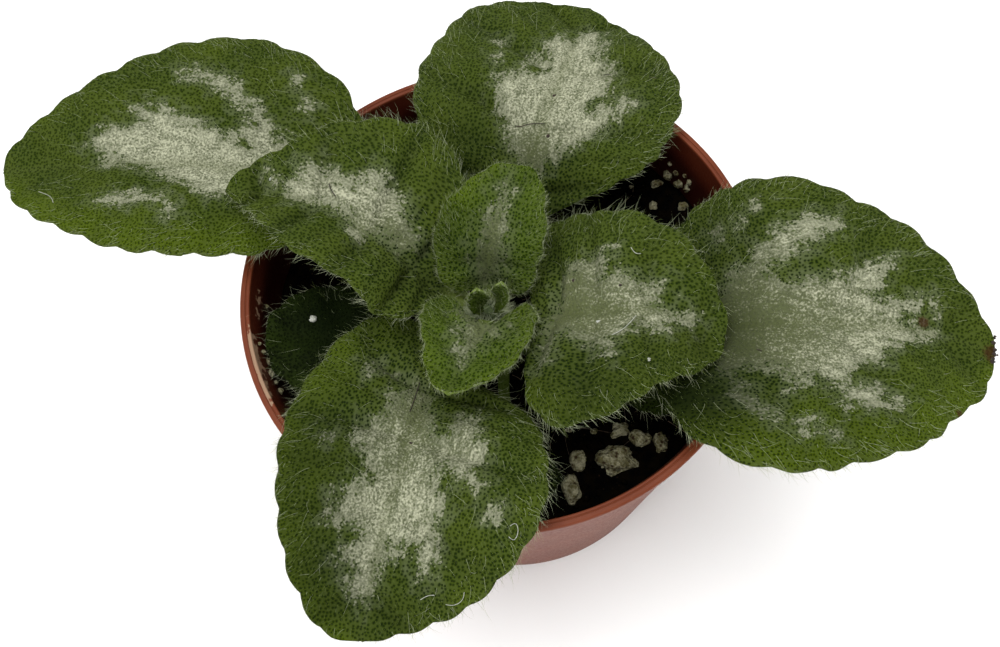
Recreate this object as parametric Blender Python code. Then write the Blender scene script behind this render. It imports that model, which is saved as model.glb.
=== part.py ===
"""A primulina rosette growing in a small plastic nursery pot.

Lengths are in millimetres and are scaled to metres where meshes are made.
The origin is the centre of the pot's flat underside, with +Z up. The rosette
is seen from -Y, so "front" is -Y, "back" is +Y, "left" is -X and "right" is +X.
"""

import math
import random

import bmesh
import bpy
import numpy as np
from mathutils import Matrix

MM = 0.001

# Pot
POT_SIDES = 56
RIM_HEIGHT = 48.5
RIM_RADIUS = 32.0
LIP_WIDTH = 1.2
BAND_HEIGHT = 2.5
FOOT_RADIUS = 22.7
FOOT_ROUND = 0.5
WALL = 1.0
FLOOR = 1.2
BAND_STEP = 0.9
RIM_ROUND = 0.3
RIM_DRAFT = 0.4
LIP_ROUND = 0.15
GROOVE_INSET = 0.75
GROOVE_HALF_WIDTH = 0.1
GROOVE_DEPTH = 0.2
DRAIN_COUNT = 6
DRAIN_RING_RADIUS = 14.0
DRAIN_RADIUS = 2.5
DRAIN_SIDES = 16

# Soil, measured down from the rim
SEAT_GAP = 0.3
SIDE_GAP = 0.4
FOOT_GAP = 0.8
HOLE_TAPER = 0.2
SOIL_DEPTH = 8.2
SOIL_SIDES = 40
SOIL_RINGS = 7
SOIL_ROUGHNESS = 0.22
PERLITE_SEED = 7
PERLITE_SPREAD = 8
PERLITE_REACH = (0.5, 0.86)
PERLITE_SIZES = (1.2, 2.0)
PERLITE_JITTER = 0.35
GRAIN_DEPTH = 0.85
GRAIN_HEIGHT = 0.6
GRAIN_DENT = (0.82, 1.08)

# Crown, the short stem that carries the leaves. Its profile gives radius, height from the rim
# and how far the stem leans to the front there.
CROWN_X = -1.7
CROWN_Y = -4.6
CROWN_TOP = 4.8
CROWN_BOTTOM = -12.0
CROWN_SIDES = 20
CROWN_PROFILE = [(2.4, -12.0, 0.0), (2.9, -8.0, 0.0), (3.0, -5.0, 0.0), (2.8, -2.0, 0.1), (2.2, 1.0, 0.5),
                 (1.4, 3.6, 1.1), (0.6, 4.8, 1.4)]

# Leaf build
STALK_ROWS = 4
TIP_STEP = 0.35
TIP_HALF_WIDTH = 0.22
MARGIN_THICKNESS = 0.66
TOOTH_DEPTH = 0.1
TOOTH_NOTCH = 0.6
TEETH_START = 0.25
TEETH_END = 0.07
ROW_LEAD = 1.35
LOBE_CURVE = 3
LOBE_SETBACK = 0.55
LONGEST_SETBACK = 0.2
CREASE = 1.2
RIB_TAPER = 0.62
RIB_DEPTH = 0.9
QUILT_START = 0.2
QUILT_END = 0.25
SPINE_SAMPLES = 300
MARGIN_SAMPLES = 200
ACROSS = (0.0, 0.12, 0.4, 0.7, 1.0)
ACROSS_SMALL = (0.0, 0.3, 1.0)

# Perlite grains that show: x, y, width, depth front to back, height
PERLITE = [
    (11.3, -22.1, 4.8, 3.6, 2.6),
    (6.8, -21.6, 1.9, 2.6, 1.6),
    (5.4, -25.0, 2.1, 3.2, 1.8),
    (12.3, -18.4, 2.8, 2.3, 1.6),
    (14.5, -19.9, 2.4, 1.8, 1.6),
    (16.9, -20.6, 1.6, 2.6, 1.6),
    (-21.0, 3.2, 1.1, 1.1, 0.9),
    (25.4, 11.4, 1.4, 1.2, 1.2),
    (22.6, 15.6, 1.6, 1.4, 1.2),
    (21.6, 12.2, 1.1, 1.2, 0.9),
]

# Leaves. A spine runs from the stalk's root to the blade's tip, with z measured from the rim.
# "base" is the stalk's length. "left" and "right" are the margins, as distances along the
# spine and out from it. "fold" is how far each half is raised about the midrib, in degrees,
# and "droop" how far its margin bends down again. "stalk" is its half width and its depth.
LEAVES = {
    "leaf_left": dict(
        spine=[(-3.7, -1.7, -2.8), (-9.0, 4.6, -1.8), (-14.5, 11.2, 0.2), (-21.0, 15.9, 2.2),
               (-29.2, 18.4, 3.6), (-39.2, 20.7, 4.2), (-48.3, 22.5, 3.6), (-56.6, 23.9, 2.2),
               (-62.1, 25.1, 0.8)],
        base=13.0,
        left=[(17.9, 6.4), (24.3, 9.3), (31.1, 12.6), (37.9, 13.5), (44.8, 13.8), (51.7, 12.6), (56.9, 10.4),
              (62.0, 7.4), (66.1, 3.0)],
        right=[(18.5, 5.8), (23.3, 9.5), (27.7, 15.3), (35.3, 18.9), (42.7, 18.1), (51.2, 14.3), (58.2, 10.1),
               (64.3, 6.1), (67.8, 2.5)],
        fold=(16.0, 18.0), droop=(2.5, 2.5), stalk=(1.2, 1.3), teeth=13, veins=4, quilt=0.5, thick=0.9),
    "leaf_mid_left": dict(
        spine=[(-4.5, -3.8, 1.0), (-7.4, -2.0, 3.2), (-11.0, 1.6, 6.8), (-14.8, 4.3, 8.8), (-19.2, 7.6, 9.8),
               (-24.0, 10.4, 9.2), (-31.7, 13.9, 6.8)],
        base=4.0,
        left=[(5.5, 6.6), (9.0, 9.3), (12.8, 8.7), (17.1, 8.2), (21.1, 8.3), (25.0, 6.9), (29.1, 4.3),
              (33.0, 1.8)],
        right=[(5.8, 6.0), (9.2, 11.0), (12.4, 15.0), (17.9, 15.2), (21.4, 12.8), (27.0, 8.0), (31.3, 4.8),
               (35.0, 1.8)],
        fold=(30.0, 18.0), droop=(2.0, 2.5), stalk=(1.2, 1.3), teeth=10, veins=4, quilt=0.5, thick=0.9),
    "leaf_back": dict(
        spine=[(-0.8, -1.2, -2.7), (1.5, 4.5, -0.8), (4.7, 10.8, 1.8), (6.9, 17.0, 4.0), (10.1, 23.8, 3.8),
               (14.0, 32.6, 1.5), (17.5, 41.1, -2.0)],
        base=9.0,
        left=[(12.9, 9.2), (18.3, 13.9), (23.9, 17.2), (29.4, 17.7), (36.0, 16.9), (41.4, 15.1), (45.8, 7.7)],
        right=[(12.9, 4.8), (15.5, 9.2), (20.1, 14.8), (25.1, 15.9), (31.6, 16.2), (39.1, 12.0), (44.3, 5.3)],
        fold=(8.0, 8.0), droop=(2.0, 2.0), stalk=(1.2, 1.3), teeth=12, veins=4, quilt=0.5, thick=0.9),
    "leaf_right": dict(
        spine=[(1.8, -4.9, -2.8), (9.1, -7.2, -1.2), (17.0, -9.6, 2.0), (25.3, -11.8, 4.0),
               (33.9, -12.6, 4.2), (40.9, -13.6, 3.2), (49.2, -14.8, 1.2), (57.0, -17.4, -1.5)],
        base=12.0,
        left=[(16.2, 7.7), (21.5, 15.5), (26.7, 17.7), (34.0, 19.0), (39.7, 16.8), (46.7, 13.6), (53.7, 6.2),
              (57.9, 1.8)],
        right=[(17.6, 7.2), (22.2, 14.0), (27.3, 18.3), (30.6, 19.1), (36.1, 19.0), (42.5, 16.9),
               (49.1, 14.1), (52.7, 11.1), (56.8, 7.0)],
        fold=(16.0, 14.0), droop=(2.5, 2.5), stalk=(1.2, 1.3), teeth=13, veins=4, quilt=0.5, thick=0.9),
    "leaf_mid_right": dict(
        spine=[(1.0, -5.6, 1.0), (4.3, -7.0, 3.6), (8.4, -8.6, 6.4), (13.4, -9.8, 8.4), (19.3, -11.3, 8.2),
               (24.7, -14.2, 6.5)],
        base=3.5,
        left=[(1.4, 4.7), (0.2, 8.8), (0.9, 11.6), (3.2, 13.2), (6.4, 13.7), (10.2, 13.2), (15.5, 12.7),
              (20.1, 10.2), (23.4, 6.4), (27.0, 2.0)],
        right=[(4.4, 2.6), (5.4, 7.4), (7.2, 12.2), (9.8, 14.8), (12.6, 14.4), (16.8, 12.1), (21.2, 9.3),
               (25.5, 6.5), (27.9, 2.7)],
        fold=(12.0, 12.0), droop=(2.0, 2.0), stalk=(1.2, 1.3), teeth=9, veins=4, quilt=0.5, thick=0.9),
    "leaf_front": dict(
        spine=[(-3.7, -7.5, -2.7), (-6.5, -9.6, -0.9), (-10.0, -15.0, 2.0), (-12.7, -21.2, 4.0),
               (-15.1, -27.5, 4.4), (-18.0, -35.1, 2.6), (-20.2, -41.5, -0.4)],
        base=5.0,
        left=[(7.3, 9.1), (10.4, 13.3), (14.9, 15.6), (20.2, 17.0), (25.7, 16.4), (31.8, 13.5), (36.1, 9.3),
              (39.9, 2.4)],
        right=[(1.7, 6.2), (5.3, 12.3), (10.4, 13.9), (16.6, 14.7), (23.2, 13.9), (29.0, 12.0), (33.8, 9.7),
               (38.1, 6.5), (40.5, 3.5)],
        fold=(10.0, 10.0), droop=(2.0, 2.0), stalk=(1.2, 1.3), teeth=12, veins=4, quilt=0.5, thick=0.9),
    "leaf_top_back": dict(
        spine=[(-1.4, -3.9, 3.6), (-1.2, -2.9, 5.4), (-0.9, -1.2, 7.4), (-0.2, 1.0, 9.0), (0.8, 3.2, 10.3),
               (3.7, 8.7, 12.2)],
        base=1.8,
        left=[(1.2, 1.9), (0.9, 3.5), (2.1, 5.3), (5.8, 6.7), (9.8, 6.6), (13.5, 4.4), (15.8, 2.4)],
        right=[(1.3, 1.9), (0.8, 3.5), (1.8, 5.1), (6.0, 6.2), (10.1, 6.3), (14.2, 4.8), (16.5, 3.0)],
        fold=(14.0, 14.0), droop=(1.0, 1.0), stalk=(0.9, 1.0), teeth=6, veins=3, quilt=0.4, thick=0.8),
    "leaf_top_front": dict(
        spine=[(-1.8, -7.5, 4.0), (-2.0, -8.2, 6.5), (-2.4, -9.5, 7.8), (-3.2, -11.5, 8.6),
               (-5.0, -14.7, 9.8), (-7.1, -18.3, 11.2)],
        base=4.3,
        left=[(3.0, 1.6), (1.6, 2.3), (0.2, 3.1), (-1.0, 4.2), (0.4, 5.6), (3.0, 5.9), (6.0, 5.6), (9.2, 4.7),
              (11.8, 3.4), (13.9, 1.7)],
        right=[(2.8, 2.6), (0.8, 4.0), (0.0, 6.0), (1.4, 7.2), (4.0, 7.6), (7.2, 7.1), (10.5, 5.3),
               (13.2, 3.8), (14.8, 2.0)],
        fold=(14.0, 14.0), droop=(1.0, 1.0), stalk=(0.9, 1.0), teeth=7, veins=3, quilt=0.4, thick=0.8),
    "leaf_old": dict(
        spine=[(-5.2, -4.9, -5.7), (-11.0, -4.4, -5.2), (-18.0, -3.6, -4.2), (-24.5, -2.6, -2.8),
               (-29.1, -1.5, -1.5)],
        base=6.0,
        left=[(9.0, 5.5), (13.0, 7.8), (17.0, 8.3), (20.6, 6.7), (22.8, 5.0), (23.9, 2.8)],
        right=[(9.0, 5.5), (13.0, 7.5), (17.0, 7.6), (21.0, 6.1), (23.3, 3.8), (24.5, 1.8)],
        fold=(6.0, 6.0), droop=(1.0, 1.0), stalk=(1.0, 1.0), teeth=7, veins=3, quilt=0.3, thick=0.8),
    "leaf_low_right": dict(
        spine=[(1.5, -6.1, -5.8), (6.4, -7.6, -5.5), (12.0, -10.2, -4.9), (17.6, -14.0, -4.2),
               (20.6, -16.2, -4.0)],
        base=6.0,
        left=[(9.0, 4.5), (13.0, 7.0), (17.4, 6.5), (21.2, 5.5), (23.0, 1.7)],
        right=[(9.0, 4.5), (13.0, 5.9), (16.3, 4.5), (19.2, 4.5), (22.2, 2.1)],
        fold=(8.0, 8.0), droop=(1.0, 1.0), stalk=(1.0, 1.0), teeth=7, veins=3, quilt=0.3, thick=0.8),
    "leaf_low_front": dict(
        spine=[(-0.5, -8.0, -5.8), (-1.1, -12.0, -5.9), (-0.7, -18.0, -5.4), (1.0, -24.0, -4.2),
               (2.0, -27.2, -3.4)],
        base=13.0,
        left=[(15.0, 2.4), (17.6, 3.1), (19.2, 1.8)],
        right=[(15.0, 2.4), (17.6, 3.1), (19.2, 1.8)],
        fold=(10.0, 10.0), droop=(0.4, 0.4), stalk=(0.7, 0.7), teeth=4, veins=2, quilt=0.15, thick=0.7),
    "leaf_bud_left": dict(
        spine=[(-2.4, -6.7, 5.5), (-2.5, -6.6, 6.8), (-2.6, -6.4, 8.2), (-2.6, -6.0, 9.6)],
        base=0.9,
        left=[(1.5, 1.3), (2.8, 1.5), (3.9, 0.9)],
        right=[(1.5, 1.3), (2.8, 1.5), (3.9, 0.9)],
        fold=(26.0, 26.0), droop=(0.1, 0.1), stalk=(0.5, 0.4), teeth=3, veins=2, quilt=0.1, thick=0.7),
    "leaf_bud_right": dict(
        spine=[(-0.9, -6.5, 5.6), (-0.5, -6.5, 7.0), (-0.1, -6.3, 8.6), (0.1, -5.9, 10.2)],
        base=0.9,
        left=[(1.5, 1.1), (3.0, 1.3), (4.3, 0.8)],
        right=[(1.5, 1.1), (3.0, 1.3), (4.3, 0.8)],
        fold=(26.0, 26.0), droop=(0.1, 0.1), stalk=(0.5, 0.4), teeth=3, veins=2, quilt=0.1, thick=0.7),
}

# Colours
TERRACOTTA = (0.195, 0.085, 0.055)
SOIL_BROWN = (0.022, 0.016, 0.011)
CROWN_GREEN = (0.085, 0.120, 0.030)
GREEN_MATURE = (0.062, 0.115, 0.021)
GREEN_YOUNG = (0.112, 0.195, 0.022)
GREEN_SHADED = (0.030, 0.052, 0.012)
LEAF_GREENS = {
    "leaf_top_back": GREEN_YOUNG,
    "leaf_top_front": GREEN_YOUNG,
    "leaf_bud_left": GREEN_YOUNG,
    "leaf_bud_right": GREEN_YOUNG,
    "leaf_old": GREEN_SHADED,
    "leaf_low_right": GREEN_SHADED,
    "leaf_low_front": GREEN_SHADED,
}


def clear_scene():
    for obj in list(bpy.context.scene.objects):
        bpy.data.objects.remove(obj, do_unlink=True)


def make_material(name, color, roughness):
    material = bpy.data.materials.new(name)
    material.use_nodes = True
    shader = material.node_tree.nodes["Principled BSDF"]
    shader.inputs["Base Color"].default_value = (*color, 1.0)
    shader.inputs["Roughness"].default_value = roughness
    shader.inputs["Metallic"].default_value = 0.0
    return material


def make_object(name, mesh, material, location=(0.0, 0.0, 0.0), parent=None, smooth_angle=40.0):
    mesh.materials.append(material)
    mesh.shade_smooth()
    mesh.set_sharp_from_angle(angle=math.radians(smooth_angle))
    obj = bpy.data.objects.new(name, mesh)
    bpy.context.scene.collection.objects.link(obj)
    obj.location = location
    obj.parent = parent
    return obj


def mesh_from_rings(name, rings):
    """Mesh through rings of points, with a centre point at each end."""
    bm = bmesh.new()
    rows = []
    for ring in rings:
        rows.append([bm.verts.new([v * MM for v in point]) for point in ring])
    for lower, upper in zip(rows, rows[1:]):
        count = max(len(lower), len(upper))
        for i in range(count):
            j = (i + 1) % count
            if len(lower) == 1:
                bm.faces.new((lower[0], upper[j], upper[i]))
            elif len(upper) == 1:
                bm.faces.new((lower[i], lower[j], upper[0]))
            else:
                bm.faces.new((lower[i], lower[j], upper[j], upper[i]))
    mesh = bpy.data.meshes.new(name)
    bm.to_mesh(mesh)
    bm.free()
    return mesh


def lathe_ring(radius, height, sides, center=(0.0, 0.0)):
    if radius == 0.0:
        return [(center[0], center[1], height)]
    turn = 2.0 * math.pi / sides
    return [(center[0] + radius * math.cos(i * turn), center[1] + radius * math.sin(i * turn), height)
            for i in range(sides)]


def apply_modifiers(obj):
    depsgraph = bpy.context.evaluated_depsgraph_get()
    mesh = bpy.data.meshes.new_from_object(obj.evaluated_get(depsgraph))
    obj.modifiers.clear()
    obj.data = mesh


def body_radius(height):
    """Outer radius of the pot's tapered body."""
    top = RIM_RADIUS - BAND_STEP
    return FOOT_RADIUS + (top - FOOT_RADIUS) * height / (RIM_HEIGHT - BAND_HEIGHT)


def make_drain_cutters(material):
    bm = bmesh.new()
    for i in range(DRAIN_COUNT):
        angle = 2.0 * math.pi * (i + 0.5) / DRAIN_COUNT
        place = Matrix.Translation((DRAIN_RING_RADIUS * MM * math.cos(angle),
                                    DRAIN_RING_RADIUS * MM * math.sin(angle), FLOOR * MM / 2.0))
        bmesh.ops.create_cone(bm, cap_ends=True, segments=DRAIN_SIDES, radius1=DRAIN_RADIUS * MM,
                              radius2=DRAIN_RADIUS * MM, depth=4.0 * FLOOR * MM, matrix=place)
    mesh = bpy.data.meshes.new("drain_cutters")
    bm.to_mesh(mesh)
    bm.free()
    cutters = make_object("drain_cutters", mesh, material)
    cutters.hide_render = True
    cutters.display_type = "WIRE"
    return cutters


def make_pot():
    band_foot = RIM_HEIGHT - BAND_HEIGHT
    lip_inner = RIM_RADIUS - LIP_WIDTH
    inner_top = body_radius(band_foot) - WALL
    inner_foot = body_radius(FLOOR) - WALL
    groove = RIM_RADIUS - GROOVE_INSET
    profile = [
        (0.0, 0.0),
        (FOOT_RADIUS - FOOT_ROUND, 0.0),
        (FOOT_RADIUS, FOOT_ROUND),
        (body_radius(band_foot), band_foot),
        (RIM_RADIUS - RIM_DRAFT, band_foot),
        (RIM_RADIUS, RIM_HEIGHT - RIM_ROUND),
        (RIM_RADIUS - RIM_ROUND, RIM_HEIGHT),
        (groove + GROOVE_HALF_WIDTH, RIM_HEIGHT),
        (groove, RIM_HEIGHT - GROOVE_DEPTH),
        (groove - GROOVE_HALF_WIDTH, RIM_HEIGHT),
        (lip_inner + LIP_ROUND, RIM_HEIGHT),
        (lip_inner, RIM_HEIGHT - LIP_ROUND),
        (inner_top, band_foot),
        (inner_foot, FLOOR + FOOT_ROUND),
        (inner_foot - FOOT_ROUND, FLOOR),
        (0.0, FLOOR),
    ]
    material = make_material("terracotta_plastic", TERRACOTTA, 0.42)
    rings = [lathe_ring(radius, height, POT_SIDES) for radius, height in profile]
    pot = make_object("pot", mesh_from_rings("pot", rings), material)
    drains = pot.modifiers.new("drains", "BOOLEAN")
    drains.operation = "DIFFERENCE"
    drains.solver = "EXACT"
    drains.object = make_drain_cutters(material)
    return pot


def soil_relief(x, y):
    wave = math.sin(0.9 * x + 1.3) * math.sin(0.8 * y + 0.4) + 0.6 * math.sin(1.7 * x - 0.9 * y)
    return SOIL_ROUGHNESS * wave


def make_soil():
    """Potting soil with a plain hole for the crown and perlite grains fused into its top."""
    top = RIM_HEIGHT - SOIL_DEPTH
    foot = FLOOR + SEAT_GAP
    outer_top = body_radius(top) - WALL - SIDE_GAP
    outer_foot = body_radius(foot) - WALL - FOOT_GAP
    hole_radius = CROWN_PROFILE[1][0] + SIDE_GAP
    hole_foot = RIM_HEIGHT + CROWN_BOTTOM - SEAT_GAP
    rings = [lathe_ring(0.0, foot, SOIL_SIDES), lathe_ring(outer_foot, foot, SOIL_SIDES),
             lathe_ring(outer_top, top, SOIL_SIDES)]
    for k in range(1, SOIL_RINGS):
        share = k / SOIL_RINGS
        radius = outer_top + (hole_radius - outer_top) * share
        ring = lathe_ring(radius, top, SOIL_SIDES, (CROWN_X * share, CROWN_Y * share))
        rings.append([(x, y, z + soil_relief(x, y) * (1.0 - share ** 4)) for x, y, z in ring])
    rings.append(lathe_ring(hole_radius, top - HOLE_TAPER, SOIL_SIDES, (CROWN_X, CROWN_Y)))
    rings.append(lathe_ring(hole_radius - HOLE_TAPER, hole_foot, SOIL_SIDES, (CROWN_X, CROWN_Y)))
    rings.append(lathe_ring(0.0, hole_foot, SOIL_SIDES, (CROWN_X, CROWN_Y)))
    material = make_material("potting_soil", SOIL_BROWN, 0.95)
    soil = make_object("soil", mesh_from_rings("soil", rings), material)
    fuse_perlite(soil, top, outer_top)
    return soil


def scattered_perlite(rng, reach):
    """Smaller grains spread by a seeded rule over the soil that the leaves hide."""
    grains = []
    for k in range(PERLITE_SPREAD):
        angle = 2.0 * math.pi * (k + PERLITE_JITTER * rng.random()) / PERLITE_SPREAD
        radius = reach * rng.uniform(*PERLITE_REACH)
        size = rng.uniform(*PERLITE_SIZES)
        grains.append((radius * math.cos(angle), radius * math.sin(angle), size, size * GRAIN_DEPTH,
                       size * GRAIN_HEIGHT))
    return grains


def fuse_perlite(soil, top, reach):
    rng = random.Random(PERLITE_SEED)
    grains = bpy.data.collections.new("perlite_grains")
    for x, y, width, depth, height in PERLITE + scattered_perlite(rng, reach):
        bm = bmesh.new()
        bmesh.ops.create_icosphere(bm, subdivisions=1, radius=0.5)
        for vert in bm.verts:
            scale = rng.uniform(*GRAIN_DENT) * MM
            vert.co = (vert.co.x * width * scale, vert.co.y * depth * scale, vert.co.z * height * scale)
        mesh = bpy.data.meshes.new("perlite_grain")
        bm.to_mesh(mesh)
        bm.free()
        grain = bpy.data.objects.new("perlite_grain", mesh)
        grain.location = (x * MM, y * MM, (top + soil_relief(x, y)) * MM)
        grains.objects.link(grain)
    union = soil.modifiers.new("perlite", "BOOLEAN")
    union.operation = "UNION"
    union.operand_type = "COLLECTION"
    union.solver = "EXACT"
    union.collection = grains
    bpy.context.scene.collection.children.link(grains)
    apply_modifiers(soil)
    for grain in list(grains.objects):
        bpy.data.objects.remove(grain, do_unlink=True)
    bpy.data.collections.remove(grains)


def make_crown(parent):
    rings = [lathe_ring(0.0, 0.0, CROWN_SIDES)]
    for radius, height, lean in CROWN_PROFILE:
        rings.append(lathe_ring(radius, height - CROWN_BOTTOM, CROWN_SIDES, (0.0, -lean)))
    rings.append(lathe_ring(0.0, CROWN_TOP - CROWN_BOTTOM, CROWN_SIDES, (0.0, -CROWN_PROFILE[-1][2])))
    material = make_material("crown_green", CROWN_GREEN, 0.7)
    location = (0.0, 0.0, (RIM_HEIGHT + CROWN_BOTTOM) * MM)
    return make_object("crown", mesh_from_rings("crown", rings), material, location, parent)


def smooth_curve(points, count):
    """Natural cubic curve through the points, sampled evenly in its parameter."""
    points = np.asarray(points, float)
    last = len(points) - 1
    knots = np.concatenate([[0.0], np.cumsum(np.sqrt(np.linalg.norm(np.diff(points, axis=0), axis=1)))])
    gaps = np.diff(knots)
    system = np.eye(last + 1)
    target = np.zeros_like(points)
    for i in range(1, last):
        system[i, i - 1:i + 2] = (gaps[i - 1], 2.0 * (gaps[i - 1] + gaps[i]), gaps[i])
        target[i] = 6.0 * ((points[i + 1] - points[i]) / gaps[i] - (points[i] - points[i - 1]) / gaps[i - 1])
    bend = np.linalg.solve(system, target)
    at = np.linspace(0.0, knots[-1], count)
    k = np.clip(np.searchsorted(knots, at, side="right") - 1, 0, last - 1)
    before = (knots[k + 1] - at)[:, None]
    after = (at - knots[k])[:, None]
    gap = gaps[k][:, None]
    curve = (bend[k] * before ** 3 + bend[k + 1] * after ** 3) / (6.0 * gap)
    curve += (points[k] / gap - bend[k] * gap / 6.0) * before
    curve += (points[k + 1] / gap - bend[k + 1] * gap / 6.0) * after
    return curve


def running_length(curve):
    return np.concatenate([[0.0], np.cumsum(np.linalg.norm(np.diff(curve, axis=0), axis=1))])


def sample(curve, lengths, at):
    return np.stack([np.interp(at, lengths, column) for column in curve.T], axis=-1)


class Spine:
    """The line from stalk to tip, with its forward, sideways and upward directions."""

    def __init__(self, points):
        self.curve = smooth_curve(points, SPINE_SAMPLES)
        self.lengths = running_length(self.curve)
        self.length = self.lengths[-1]
        forward = np.gradient(self.curve, self.lengths, axis=0)
        self.forward = forward / np.linalg.norm(forward, axis=1)[:, None]
        up = np.array([0.0, 0.0, 1.0])
        normal = up - (self.forward @ up)[:, None] * self.forward
        self.normal = normal / np.linalg.norm(normal, axis=1)[:, None]
        self.side = np.cross(self.forward, self.normal)

    def frame(self, at, lowest):
        """Frame at a distance; below "lowest" it runs on in the plane found there."""
        held = np.clip(at, lowest, self.length)
        point, forward, side, normal = (sample(track, self.lengths, held)
                                        for track in (self.curve, self.forward, self.side, self.normal))
        return point + forward * (at - held)[:, None], side, normal


def fade(share, width):
    """Rises from 0 at share 0 to 1 at the given width."""
    return np.clip(share / width, 0.0, 1.0)


def margin(leaf, half, length, along):
    """Margin of one half, with its rounded teeth, at fractions along from base to tip.

    Where the blade has a lobe that runs back past its base, the margin leaves the stalk
    a little below the base.
    """
    base = leaf["base"]
    lobe = max(base - leaf[half][0][0], 0.0)
    setback = min(LOBE_SETBACK * lobe, LONGEST_SETBACK * base)
    points = [(base - setback, leaf["stalk"][0]), *leaf[half], (length, 0.0)]
    curve = smooth_curve(points, MARGIN_SAMPLES)
    lengths = running_length(curve)
    heading = np.gradient(curve, lengths, axis=0)
    outward = np.stack([-heading[:, 1], heading[:, 0]], axis=-1)
    outward /= np.linalg.norm(outward, axis=1)[:, None]
    depth = TOOTH_DEPTH * lengths[-1] / leaf["teeth"]
    tooth = depth * (np.abs(np.sin(math.pi * leaf["teeth"] * along)) - TOOTH_NOTCH)
    tooth *= fade(along, TEETH_START) ** 2 * fade(1.0 - along, TEETH_END)
    at = along * lengths[-1]
    return sample(curve, lengths, at) + sample(outward, lengths, at) * tooth[:, None]


def leaf_faces(leaf, along, across):
    """Rows of points on the leaf's top and bottom. Below 0, along is in the stalk."""
    spine = Spine(leaf["spine"])
    base = leaf["base"]
    blade = np.clip(along, 0.0, 1.0)
    in_blade = along >= 0.0
    middle = np.where(in_blade, base + (spine.length - base) * blade ** ROW_LEAD, base * (1.0 + along))
    rib_half = leaf["stalk"][0] * (1.0 - RIB_TAPER * blade)
    rib_depth = leaf["stalk"][1] * RIB_DEPTH * (1.0 - blade)
    swell = leaf["quilt"] * np.abs(np.sin(math.pi * (leaf["veins"] + 0.5) * blade))
    swell *= fade(blade, QUILT_START) * fade(1.0 - blade, QUILT_END)
    tops = []
    bottoms = []
    for index, half in enumerate(("left", "right")):
        sign = 2.0 * index - 1.0
        fold = math.radians(leaf["fold"][index])
        widest = max(point[1] for point in leaf[half])
        edge = margin(leaf, half, spine.length, blade)
        edge[~in_blade] = np.stack([middle, np.full(len(along), leaf["stalk"][0])], axis=-1)[~in_blade]
        reach = np.maximum(edge[:, 1], TIP_HALF_WIDTH)
        lead = edge[:, 0] - middle
        shares = across[::-1] if half == "left" else across[1:]
        for share in shares:
            out = reach * share
            raised = math.sin(fold) * (np.hypot(out, CREASE) - CREASE)
            raised += swell * math.sin(math.pi * share) - leaf["droop"][index] * (out / widest) ** 3
            at = middle + lead * np.where(lead < 0.0, share ** LOBE_CURVE, share)
            point, side, normal = spine.frame(at, np.where(in_blade, base, 0.0))
            top = point + side * (sign * math.cos(fold) * out)[:, None] + normal * raised[:, None]
            rib = rib_depth * np.sqrt(np.clip(1.0 - (out / rib_half) ** 2, 0.0, 1.0))
            thickness = MARGIN_THICKNESS + (leaf["thick"] - MARGIN_THICKNESS) * (1.0 - share ** 4) + rib
            tops.append(top)
            bottoms.append(top - normal * (thickness / math.cos(fold))[:, None])
    return np.stack(tops, axis=1), np.stack(bottoms, axis=1)


def leaf_mesh(name, leaf):
    """One closed body for blade and stalk, with its top and bottom split alike."""
    rows = 2 * leaf["teeth"]
    small = leaf["teeth"] <= 4
    along = np.concatenate([np.linspace(-1.0, 0.0, 2 if small else STALK_ROWS, endpoint=False),
                            np.arange(rows) / rows, [1.0 - TIP_STEP / rows]])
    top, bottom = leaf_faces(leaf, along, ACROSS_SMALL if small else ACROSS)
    root = np.array(leaf["spine"][0])
    points = (np.concatenate([top, bottom], axis=1) - root) * MM
    row_count, width = top.shape[:2]
    bm = bmesh.new()
    grid = [[bm.verts.new(point) for point in row] for row in points]
    for here, there in zip(grid, grid[1:]):
        for j in range(width - 1):
            k = width + j
            bm.faces.new((here[j], here[j + 1], there[j + 1]))
            bm.faces.new((here[j], there[j + 1], there[j]))
            bm.faces.new((here[k], there[k + 1], here[k + 1]))
            bm.faces.new((here[k], there[k], there[k + 1]))
        bm.faces.new((here[0], there[0], there[width], here[width]))
        bm.faces.new((here[width - 1], here[-1], there[-1], there[width - 1]))
    for j in range(width - 1):
        k = width + j
        first = grid[0]
        last = grid[row_count - 1]
        bm.faces.new((first[j], first[k], first[k + 1], first[j + 1]))
        bm.faces.new((last[j], last[j + 1], last[k + 1], last[k]))
    mesh = bpy.data.meshes.new(name)
    bm.to_mesh(mesh)
    bm.free()
    return mesh


def make_leaf(name, leaf, parent):
    x, y, z = leaf["spine"][0]
    material = make_material(name + "_green", LEAF_GREENS.get(name, GREEN_MATURE), 0.75)
    location = ((x - CROWN_X) * MM, (y - CROWN_Y) * MM, (RIM_HEIGHT + z) * MM)
    return make_object(name, leaf_mesh(name, leaf), material, location, parent, smooth_angle=60.0)


def make_plant_axis():
    axis = bpy.data.objects.new("plant_axis", None)
    axis.empty_display_size = 10.0 * MM
    axis.location = (CROWN_X * MM, CROWN_Y * MM, 0.0)
    bpy.context.scene.collection.objects.link(axis)
    return axis


def main():
    clear_scene()
    make_pot()
    make_soil()
    axis = make_plant_axis()
    make_crown(axis)
    for name, leaf in LEAVES.items():
        make_leaf(name, leaf, axis)


main()
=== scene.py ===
"""Looks of a primulina rosette in its nursery pot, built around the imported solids.

Lengths are in millimetres and become metres where meshes are made. The origin is
the centre of the pot's underside, with +Z up. "Front" is -Y, "back" +Y, "left" -X
and "right" +X. Each leaf has the form of its solid, cut finer, with veins, relief,
silver marks and hairs. All random draws are seeded.
"""

import math

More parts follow.
